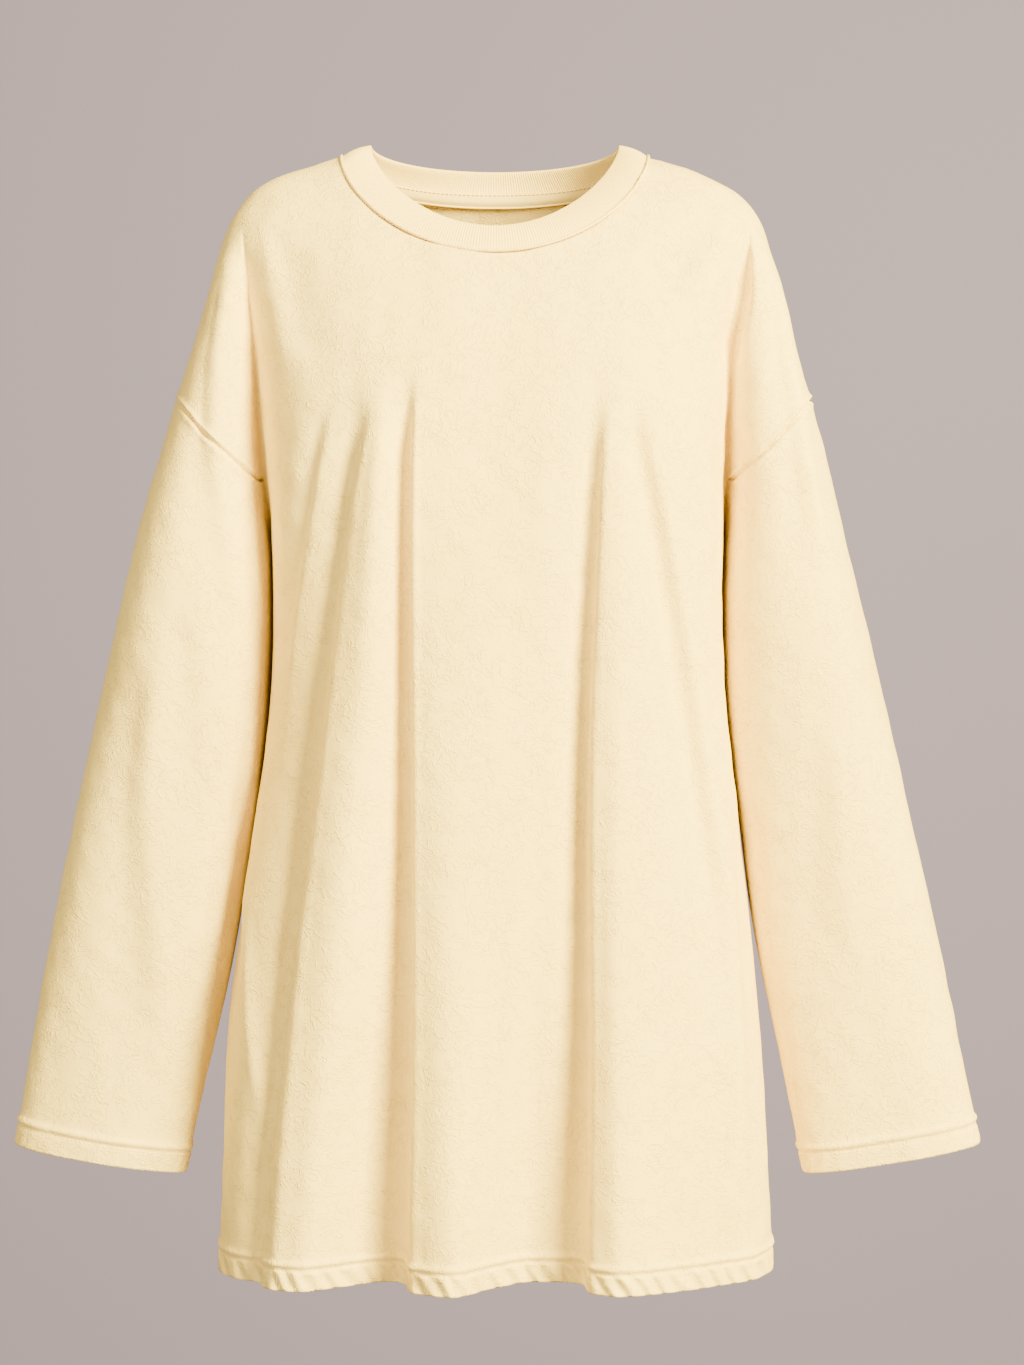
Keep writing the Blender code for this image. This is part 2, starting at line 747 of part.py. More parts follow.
def makeTape(normal, collarInside, collection, tapeMaterial):
    """Tape that lies on the neck band's inner face and reaches below its seam."""
    count = len(normal)
    first = int(round((180 - tapeTurn) * count / 360))
    chosen = range(first, count - first + 1)
    outer, inner, faces = [], [], []
    for distance in (-tapeBelowSeam, 0.0, tapeAboveSeam):
        for k in chosen:
            seam = collarInside[0][k]
            along = collarInside[1][k] - seam
            along /= np.linalg.norm(along)
            if distance < 0:
                along = along * tapeLean + np.array([0.0, 0.0, 1 - tapeLean])
                along /= np.linalg.norm(along)
            place = seam + along * distance - normal[k] * seamGap
            outer.append(place)
            inner.append(place - normal[k] * tapeThickness)
    width = len(chosen)
    for row in range(2):
        for k in range(width - 1):
            a = row * width + k
            faces.append([a, a + 1, a + 1 + width])
            faces.append([a, a + 1 + width, a + width])
    newPiece("neck_tape", np.array(outer), np.array(inner), faces, tapeMaterial, collection)


def main():
    for item in list(bpy.data.objects):
        bpy.data.objects.remove(item, do_unlink=True)
    collection = bpy.data.collections.new("long_sleeved_tshirt")
    bpy.context.scene.collection.children.link(collection)
    jersey = newMaterial("jersey", (0.93, 0.84, 0.66), 0.9)
    rib = newMaterial("rib", (0.93, 0.84, 0.66), 0.92)
    tapeMaterial = newMaterial("tape", (0.90, 0.80, 0.62), 0.9)
    skin = makeSkin()
    makePanels(skin, collection, jersey)
    normal, collarInside = makeCollar(skin, collection, rib)
    makeTape(normal, collarInside, collection, tapeMaterial)


main()
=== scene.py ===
# Long-sleeved t-shirt of cream cotton jersey, hanging as worn and hollow inside.
# Metres, +Z up, the front faces -Y, left and right are the viewer's.

import bpy
import numpy as np
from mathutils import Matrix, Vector


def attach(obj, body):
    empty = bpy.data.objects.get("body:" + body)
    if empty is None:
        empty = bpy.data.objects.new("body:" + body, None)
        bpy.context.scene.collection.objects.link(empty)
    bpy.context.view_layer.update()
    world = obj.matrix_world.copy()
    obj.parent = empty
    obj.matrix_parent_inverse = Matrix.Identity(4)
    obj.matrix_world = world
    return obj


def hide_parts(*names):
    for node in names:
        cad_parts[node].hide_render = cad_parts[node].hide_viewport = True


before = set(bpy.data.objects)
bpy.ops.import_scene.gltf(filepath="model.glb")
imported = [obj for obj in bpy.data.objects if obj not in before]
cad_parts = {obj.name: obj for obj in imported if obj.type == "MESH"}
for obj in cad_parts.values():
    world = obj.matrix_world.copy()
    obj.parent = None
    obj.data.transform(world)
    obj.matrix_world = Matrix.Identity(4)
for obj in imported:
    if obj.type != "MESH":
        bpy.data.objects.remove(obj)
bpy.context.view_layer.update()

# Camera: level, in front of the chest
cameraSizes = {"place": (0.0122, -1.8, -0.375), "lens": 66.4, "sensor": 36.0}


def addCamera():
    data = bpy.data.cameras.new("camera")
    data.sensor_fit = "VERTICAL"
    data.sensor_height = cameraSizes["sensor"]
    data.lens = cameraSizes["lens"]
    camera = bpy.data.objects.new("camera", data)
    camera.location = cameraSizes["place"]
    camera.rotation_euler = (np.pi / 2, 0, 0)
    bpy.context.scene.collection.objects.link(camera)
    bpy.context.scene.camera = camera


addCamera()
print("camera placed")

# Sizes of the cut, the same as the solids have
neck = {"halfWidth": 0.109, "dropFront": 0.079, "dropBack": 0.020, "roundness": 1.15, "under": -0.00001}
levels = {"grooveTop": -0.046, "grooveEase": 0.040, "underarm": -0.270, "hem": -0.786}
shoulderEnd = {"body": -0.044, "arm": -0.046, "tip": -0.058}
armhole = {"tip": -0.175, "groove": -0.232, "bow": 1.15}
cuffLevel = {"outer": -0.702, "inner": -0.724}
square = {"body": 3.0, "arm": 2.4}
cloth = {"thickness": 0.0013, "band": 0.020, "aboveBand": 0.004}

sign = {"left": -1.0, "right": 1.0}
forward = {"front": -1.0, "back": 1.0}

# How finely the cloth is divided, with closer columns between two shares of its width
mesh = {"body": 95, "neck": 57, "flap": 40, "upperRows": 70, "lowerRows": 96, "hemRows": 22,
        "underarmRows": 16, "sleeveRows": 116, "cuffRows": 19, "denseFrom": 0.16, "denseTo": 0.25,
        "denseEase": 0.03, "dense": 2.2}
netSizes = {"same": 0.000004, "least": 0.000001, "tiny": 1e-15, "seamStep": 0.0030, "halfHem": 0.27,
            "backFrom": 1.7}
grooveParts = np.array([0.25, 0.5, 0.75])
grooveMiddle = mesh["body"] + 2

# How the rows and columns spread out from the neck, the shoulder and the armhole
spread = {"bodyBend": 0.9, "bendFrom": 0.2, "sideFaster": 3, "followFrom": 0.6, "flapBend": 1.9,
          "flapEven": 0.7, "edgeFaster": 4, "settle": 0.05, "sleeveRound": 0.13}


def table(names, rows):
    rows = sorted(rows)
    return {name: np.array([row[i] for row in rows]) for i, name in enumerate(names)}


bodyDepth = table(("z", "front", "back"), [
    (0.000, 0.014, 0.014),
    (-0.004, 0.022, 0.024),
    (-0.010, 0.032, 0.044),
    (-0.020, 0.041, 0.062),
    (-0.027, 0.046, 0.069),
    (-0.046, 0.058, 0.083),
    (-0.060, 0.065, 0.090),
    (-0.080, 0.073, 0.097),
    (-0.120, 0.088, 0.105),
    (-0.160, 0.102, 0.108),
    (-0.200, 0.109, 0.108),
    (-0.270, 0.111, 0.103),
    (-0.400, 0.108, 0.097),
    (-0.600, 0.105, 0.099),
    (-0.786, 0.104, 0.106),
])

# Side edge of the body, at the arm groove and then at the side seam
bodyEdge = table(("z", "left", "right"), [
    (-0.046, 0.1780, 0.1800),
    (-0.060, 0.1750, 0.1775),
    (-0.087, 0.1710, 0.1740),
    (-0.120, 0.1680, 0.1685),
    (-0.150, 0.1655, 0.1645),
    (-0.194, 0.1633, 0.1622),
    (-0.232, 0.1608, 0.1618),
    (-0.270, 0.1583, 0.1620),
    (-0.316, 0.1570, 0.1605),
    (-0.373, 0.1587, 0.1615),
    (-0.428, 0.1630, 0.1670),
    (-0.478, 0.1705, 0.1738),
    (-0.535, 0.1790, 0.1806),
    (-0.602, 0.1880, 0.1868),
    (-0.654, 0.1913, 0.1913),
    (-0.700, 0.1928, 0.1940),
    (-0.786, 0.1950, 0.1965),
])

# Shoulder line, then the outer line of the arm
armOuter = table(("z", "left", "right"), [
    (0.000, 0.1090, 0.1090),
    (-0.004, 0.1215, 0.1215),
    (-0.010, 0.1400, 0.1400),
    (-0.018, 0.1590, 0.1585),
    (-0.027, 0.1740, 0.1735),
    (-0.046, 0.1880, 0.1880),
    (-0.066, 0.1950, 0.1945),
    (-0.100, 0.2050, 0.2040),
    (-0.140, 0.2165, 0.2145),
    (-0.175, 0.2266, 0.2245),
    (-0.267, 0.2530, 0.2470),
    (-0.356, 0.2735, 0.2696),
    (-0.465, 0.2975, 0.2953),
    (-0.580, 0.3215, 0.3210),
    (-0.702, 0.3432, 0.3455),
])

# Inner line of the arm, its half depth, and how far round its section goes
armInner = table(("z", "left", "right", "depth", "turn"), [
    (-0.046, 0.1780, 0.1800, 0.038, 50),
    (-0.060, 0.1770, 0.1795, 0.040, 72),
    (-0.080, 0.1760, 0.1790, 0.045, 105),
    (-0.100, 0.1745, 0.1770, 0.051, 125),
    (-0.130, 0.1715, 0.1720, 0.057, 137),
    (-0.160, 0.1693, 0.1687, 0.062, 145.5),
    (-0.200, 0.1674, 0.1664, 0.066, 154),
    (-0.232, 0.1652, 0.1662, 0.068, 160),
    (-0.250, 0.1630, 0.1652, 0.0685, 165.9),
    (-0.263, 0.1610, 0.1642, 0.069, 171.8),
    (-0.270, 0.1601, 0.1637, 0.069, 178.2),
    (-0.300, 0.1583, 0.1619, 0.0685, 180),
    (-0.320, 0.1580, 0.1615, 0.068, 180),
    (-0.385, 0.1607, 0.1636, 0.064, 180),
    (-0.435, 0.1652, 0.1692, 0.060, 180),
    (-0.487, 0.1732, 0.1764, 0.055, 180),
    (-0.530, 0.1800, 0.1818, 0.050, 180),
    (-0.573, 0.1875, 0.1892, 0.0445, 180),
    (-0.616, 0.1968, 0.1982, 0.039, 180),
    (-0.659, 0.2070, 0.2070, 0.0345, 180),
    (-0.724, 0.2205, 0.2203, 0.029, 180),
])

# Hanging folds: where each lies at four heights, and how far it stands out (+)
# or falls in (-) at the chest, the waist and the hem
foldLevels = (-0.160, -0.230, -0.475, -0.786)
foldNames = ("x160", "x230", "x475", "x786", "chest", "waist", "hem")
folds = {}
folds["front"] = table(foldNames, [
    (-0.152, -0.154, -0.166, -0.176, 0.000, 0.000, 0.000),
    (-0.094, -0.099, -0.131, -0.163, -0.002, -0.008, -0.001),
    (-0.086, -0.090, -0.121, -0.157, 0.004, 0.004, 0.009),
    (-0.076, -0.079, -0.100, -0.133, 0.006, 0.008, 0.010),
    (-0.066, -0.066, -0.070, -0.083, -0.001, -0.008, -0.027),
    (-0.059, -0.059, -0.061, -0.063, -0.004, -0.014, -0.021),
    (-0.050, -0.053, -0.054, -0.0545, 0.003, 0.000, 0.003),
    (-0.034, -0.034, -0.030, -0.029, 0.002, 0.006, 0.014),
    (0.000, 0.004, 0.012, 0.001, 0.000, -0.001, -0.014),
    (0.030, 0.031, 0.033, 0.026, 0.000, -0.007, -0.031),
    (0.069, 0.064, 0.060, 0.060, -0.003, -0.013, -0.020),
    (0.078, 0.074, 0.068, 0.0665, 0.004, 0.001, 0.003),
    (0.087, 0.084, 0.083, 0.083, 0.006, 0.008, 0.014),
    (0.096, 0.103, 0.138, 0.158, 0.001, 0.002, 0.000),
    (0.108, 0.117, 0.150, 0.178, 0.004, 0.004, 0.002),
    (0.152, 0.154, 0.166, 0.186, 0.000, 0.000, 0.000),
])
folds["back"] = table(foldNames, [
    (-0.152, -0.154, -0.166, -0.180, 0.000, 0.000, 0.000),
    (-0.105, -0.112, -0.130, -0.146, 0.002, 0.007, 0.013),
    (-0.080, -0.084, -0.094, -0.104, -0.001, -0.007, -0.016),
    (-0.068, -0.071, -0.080, -0.090, 0.001, 0.002, 0.002),
    (-0.048, -0.050, -0.056, -0.062, 0.002, 0.007, 0.013),
    (0.000, -0.002, -0.006, -0.010, 0.000, -0.005, -0.018),
    (0.040, 0.042, 0.044, 0.046, 0.002, 0.007, 0.014),
    (0.062, 0.065, 0.072, 0.078, 0.000, -0.007, -0.015),
    (0.074, 0.077, 0.086, 0.094, 0.001, 0.002, 0.003),
    (0.100, 0.106, 0.124, 0.138, 0.002, 0.006, 0.012),
    (0.152, 0.154, 0.166, 0.182, 0.000, 0.000, 0.000),
])


# Smooth curve through knots without overshoot, level past its ends
def smoothThrough(knots, values, where):
    where = np.asarray(where, dtype=float)
    shape = where.shape
    where = where.reshape(-1)
    knots = np.asarray(knots, dtype=float)
    values = np.asarray(values, dtype=float)
    if knots.ndim == 1:
        knots = knots[:, None]
    if values.ndim == 1:
        values = values[:, None]
    knots = np.broadcast_to(knots, (knots.shape[0], where.size))
    values = np.broadcast_to(values, (values.shape[0], where.size))
    step = np.diff(knots, axis=0)
    rise = np.diff(values, axis=0) / step
    slope = np.zeros(knots.shape)
    agree = rise[:-1] * rise[1:] > 0
    total = np.where(agree, rise[:-1] + rise[1:], 1.0)
    slope[1:-1] = np.where(agree, 2 * rise[:-1] * rise[1:] / total, 0.0)
    slope[0] = rise[0]
    slope[-1] = rise[-1]
    low = np.clip((where >= knots).sum(axis=0) - 1, 0, len(knots) - 2)[None, :]

    def take(data, index):
        return np.take_along_axis(data, index, axis=0)[0]

    span = take(step, low)
    t = np.clip((where - take(knots, low)) / span, 0.0, 1.0)
    result = ((1 + 2 * t) * (1 - t) ** 2 * take(values, low)
              + t * (1 - t) ** 2 * span * take(slope, low)
              + t * t * (3 - 2 * t) * take(values, low + 1)
              + t * t * (t - 1) * span * take(slope, low + 1))
    return result.reshape(shape)


def read(data, name, z):
    return smoothThrough(data["z"], data[name], z)


def asGrids(*values):
    return np.broadcast_arrays(*[np.asarray(value, dtype=float) for value in values])


def ease(low, high, value):
    t = np.clip((np.asarray(value, dtype=float) - low) / (high - low), 0.0, 1.0)
    return t * t * (3 - 2 * t)


def bell(value, width):
    return np.exp(-(value / width) ** 2)


def unit(vectors):
    return vectors / np.maximum(np.linalg.norm(vectors, axis=1), netSizes["tiny"])[:, None]


# Points from their distances outward and forward and their height
def placed(side, face, x, y, z):
    return np.stack([sign[side] * x, forward[face] * y, np.broadcast_to(z, np.shape(y))], axis=-1)


def roundPoint(turn, power):
    across = np.sin(np.radians(turn))
    along = np.cos(np.radians(turn))
    size = (np.abs(across) ** power + np.abs(along) ** power) ** (1 / power)
    return across / size, along / size


def otherLeg(value, power):
    return np.clip(1 - np.abs(value) ** power, 0.0, None) ** (1 / power)


def armShape(side, z):
    turn = read(armInner, "turn", z)
    depth = read(armInner, "depth", z)
    reach = roundPoint(turn, square["arm"])[1]
    outer = read(armOuter, side, z)
    width = (outer - read(armInner, side, z)) / (1 - reach)
    return outer - width, width, depth, turn


def grooveDepth(z):
    turn = read(armInner, "turn", z)
    return read(armInner, "depth", z) * roundPoint(turn, square["arm"])[0]


def bodyShape(side, face, z):
    z = np.asarray(z, dtype=float)
    level = np.minimum(z, levels["grooveTop"])
    ratio = np.clip(grooveDepth(level) / read(bodyDepth, face, level), 0.0, 0.999)
    reach = otherLeg(ratio, square["body"])
    width = np.where(z > levels["grooveTop"], read(armOuter, side, z), read(bodyEdge, side, z) / reach)
    return width, read(bodyDepth, face, z), np.degrees(np.arctan2(reach, ratio))


# Distance of the cloth from y = 0 above the underarm; the front's groove starts softly
def surfaceDepth(side, face, x, z):
    x, z = asGrids(x, z)
    width, depth, _ = bodyShape(side, face, z)
    body = depth * otherLeg(np.clip(x / width, 0.0, 1.0), square["body"])
    centre, armWidth, armDepth, _ = armShape(side, z)
    arm = armDepth * otherLeg(np.clip((x - centre) / armWidth, -1.0, 1.0), square["arm"])
    inner = read(armInner, side, z)
    edge = read(bodyEdge, side, z)
    radius = np.maximum((inner - edge) / 2, 1e-6)
    middle = (inner + edge) / 2
    groove = grooveDepth(z) - radius * otherLeg(np.clip((x - middle) / radius, -1.0, 1.0), 2)
    groove = np.maximum(groove, 0.0)
    deep = np.where(x >= inner, arm, np.where(x > edge, groove, body))
    if face == "front":
        wide = depth * otherLeg(np.clip(x / read(armOuter, side, z), 0.0, 1.0), square["body"])
        start = ease(-levels["grooveTop"], levels["grooveEase"] - levels["grooveTop"], -z)
        deep = wide + (deep - wide) * start
    return np.where(z > levels["grooveTop"], body, deep)


def foldOffset(face, x, z):
    x, z = asGrids(x, z)
    heights = np.array(foldLevels)[::-1]
    rows = folds[face]
    lines = np.stack([rows[name] for name in ("x786", "x475", "x230", "x160")])
    out = np.stack([rows["hem"], rows["waist"], rows["chest"], rows["chest"] * 0.0])
    flat = z.reshape(-1)
    knots = np.stack([smoothThrough(heights, lines[:, k], flat) for k in range(lines.shape[1])])
    values = np.stack([smoothThrough(heights, out[:, k], flat) for k in range(lines.shape[1])])
    return smoothThrough(knots, values, x.reshape(-1)).reshape(x.shape)


def bodyPoint(side, face, x, z):
    x, z = asGrids(x, z)
    width, depth, _ = bodyShape(side, face, z)
    y = surfaceDepth(side, face, x, z)
    ratioX = np.clip(x / width, 0.0, 1.0)
    ratioY = np.clip(y / depth, 0.0, 1.0)
    normalX = ratioX ** (square["body"] - 1) / width
    normalY = ratioY ** (square["body"] - 1) / depth
    length = np.sqrt(normalX ** 2 + normalY ** 2)
    out = foldOffset(face, x * sign[side], z)
    return placed(side, face, x + out * normalX / length, y + out * normalY / length, z)


def armPoint(side, face, turn, z):
    centre, width, depth, _ = armShape(side, z)
    y, x = roundPoint(turn, square["arm"])
    return placed(side, face, centre + width * x, depth * y, z)


def neckLine(face, turn):
    drop = neck["dropFront"] if face == "front" else neck["dropBack"]
    height = -drop * np.abs(np.cos(np.radians(turn))) ** neck["roundness"]
    return neck["halfWidth"] * np.sin(np.radians(turn)), height


def shoulderLevel(side, x):
    heights = np.linspace(shoulderEnd["body"], 0.0, 400)[::-1]
    return np.interp(x, read(armOuter, side, heights), heights)


# Shares of the panel's width, closer together near the two long middle folds
def columnShares():
    even = np.linspace(0, 1, 2001)
    low, high, soft = mesh["denseFrom"], mesh["denseTo"], mesh["denseEase"]
    density = 1 + mesh["dense"] * ease(low - soft, low, even) * ease(-high - soft, -high, -even)
    total = np.concatenate([[0], np.cumsum((density[1:] + density[:-1]) / 2)])
    return np.interp(np.arange(mesh["body"] + 1) / mesh["body"], total / total[-1], even)


def bodyPlace(side, face, share, z):
    width, _, end = bodyShape(side, face, z)
    return width * roundPoint(share * end, square["body"])[0]


# The seam's height for each column of the flap, from the groove to the tip
def flapLevels():
    turnEnd = read(armInner, "turn", armhole["groove"])
    turns = turnEnd * (1 - np.arange(mesh["flap"] + 1) / mesh["flap"])
    reach = roundPoint(turns, square["arm"])[1]
    share = (1 - reach) / (1 - reach[0])
    return armhole["tip"] + (armhole["groove"] - armhole["tip"]) * share ** armhole["bow"]


# Even steps, then finer ones next to a seam
def stepsTo(count, fine, last):
    even = np.linspace(0, 1 - fine[0], count)
    return np.concatenate([even, 1 - np.array(fine[1:]), [last]])


upperSteps = stepsTo(mesh["upperRows"], (0.030, 0.022, 0.016, 0.011, 0.007, 0.004, 0.002), 1.0)


# Grid of the panel above the armhole seam: rows down, columns from the centre out
def upperGrid(side, face):
    rows = upperSteps[:, None]
    share = columnShares()
    neckShare = share[mesh["neck"]]
    onNeck = np.arange(mesh["body"] + 1) <= mesh["neck"]
    neckX, neckZ = neckLine(face, np.clip(90 * share / neckShare, 0, 90))
    part = np.clip((share - neckShare) / (1 - neckShare), 0, 1)
    end = read(armOuter, side, shoulderEnd["body"])
    startX = np.where(onNeck, neckX, neck["halfWidth"] + (end - neck["halfWidth"]) * part)
    startZ = np.where(onNeck, neckZ, shoulderLevel(side, startX))
    bend = 1 + spread["bodyBend"] * ease(spread["bendFrom"], neckShare, share)
    z = startZ + (armhole["groove"] - startZ) * rows ** bend
    weight = np.minimum(1.0, rows * (1 + spread["sideFaster"] * part))
    z, weight, shares = np.broadcast_arrays(z, weight, share[None, :])
    place = bodyPlace(side, face, share, np.full(share.shape, armhole["groove"]))[None, :]
    follow = ease(spread["followFrom"], 1.0, shares)
    place = place + (bodyPlace(side, face, shares, z) - place) * follow
    x = startX + (place - startX) * weight
    x = np.minimum(x, read(armOuter, side, z))
    body = bodyPoint(side, face, x, z)

    wide = len(grooveParts)
    flapParts = np.arange(mesh["flap"] + 1) / mesh["flap"]
    tops = np.concatenate([shoulderEnd["body"] + (shoulderEnd["arm"] - shoulderEnd["body"]) * grooveParts,
                           shoulderEnd["arm"] + (shoulderEnd["tip"] - shoulderEnd["arm"]) * flapParts])
    ends = np.concatenate([np.full(wide, armhole["groove"]), flapLevels()])
    bend = spread["flapBend"] - spread["flapEven"] * flapParts
    bend = np.concatenate([np.full(wide, spread["flapBend"]), bend])
    z = tops + (ends - tops) * rows ** bend
    level = np.minimum(z, levels["grooveTop"])
    inner = read(armInner, side, level[:, :wide])
    edge = read(bodyEdge, side, level[:, :wide])
    grooveX = edge + (inner - edge) * grooveParts
    centre, width, _, turn = armShape(side, level[:, wide:])
    flapX = centre + width * roundPoint(turn * (1 - flapParts), square["arm"])[1]
    x = np.concatenate([grooveX, flapX], axis=1)
    outer = read(armOuter, side, z)
    x = outer - (outer - x) * np.minimum(1.0, rows * spread["edgeFaster"])
    y = surfaceDepth(side, face, x, z)
    y[0, :] = 0.0
    y[:, -1] = 0.0
    return np.concatenate([body, placed(side, face, x, y, z)], axis=1)


# Heights of the rows under the armhole seam
def lowerSteps():
    under = np.linspace(armhole["groove"], levels["underarm"], mesh["underarmRows"] + 1)
    hemTop = levels["hem"] + cloth["band"] + cloth["aboveBand"]
    body = np.linspace(levels["underarm"], hemTop, mesh["lowerRows"] + 1)[1:]
    hem = np.linspace(hemTop, levels["hem"], mesh["hemRows"] + 1)[1:]
    return np.concatenate([under, body, hem])


# Grid of the body's panel under the seam: body columns, a groove column, the side
def lowerGrid(side, face):
    z = lowerSteps()[:, None]
    share = columnShares()[None, :]
    settle = ease(-levels["underarm"], spread["settle"] - levels["underarm"], -z)
    share = share * (1 - 2 / (mesh["body"] + 2) * settle)
    zz, share = np.broadcast_arrays(z, share)
    body = bodyPoint(side, face, bodyPlace(side, face, share, zz), zz)
    inner = read(armInner, side, z)
    edge = read(bodyEdge, side, z)
    above = z > levels["underarm"] - 1e-6
    radius = (inner - edge) / 2
    sideX = np.where(above, (inner + edge) / 2, edge)
    sideY = np.where(above, np.maximum(grooveDepth(z) - radius, 0.0), 0.0)
    last = placed(side, face, sideX, sideY, z)
    nextX = edge + (inner - edge) * grooveParts[0]
    nextY = grooveDepth(z) - radius * otherLeg(1 - 2 * grooveParts[0], 2)
    groove = placed(side, face, nextX, np.maximum(nextY, 0.0), z)
    between = (body[:, -1:] + last) / 2
    groove = np.where(above[..., None], groove, between)
    return np.concatenate([body, groove, last], axis=1)


# Shares of the sleeve's length: fine steps at the seam, even ones, fine ones at the cuff
sleeveParts = {"seam": (0.0, 0.0008, 0.0018, 0.0032, 0.0052, 0.008, 0.0115, 0.016), "even": (0.021, 0.955),
               "cuff": (0.958, 1.0)}
sleeveSteps = np.concatenate([sleeveParts["seam"], np.linspace(*sleeveParts["even"], mesh["sleeveRows"]),
                              np.linspace(*sleeveParts["cuff"], mesh["cuffRows"])])


# Grid of half a sleeve: rows from the armhole seam to the cuff, outer to inner line
def sleeveGrid(side, face, ring):
    count = len(ring) - 1
    k = np.arange(count + 1)
    part = (k / count)[None, :]
    ringPart = np.minimum(1.0, k / (mesh["flap"] + 1))[None, :]
    share = sleeveSteps[:, None]
    outer, inner = cuffLevel["outer"], cuffLevel["inner"]
    bottom = outer + (inner - outer) * (1 - np.cos(np.pi * part)) / 2
    z = ring[None, :, 2] + (bottom - ring[None, :, 2]) * share
    settled = np.minimum(1.0, share / spread["sleeveRound"])
    end = np.where(z < levels["underarm"] - 1e-6, 180.0, read(armInner, "turn", z))
    turn = (ringPart + (part - ringPart) * settled) * end
    grid = armPoint(side, face, turn, z)
    grid[0] = ring
    return grid


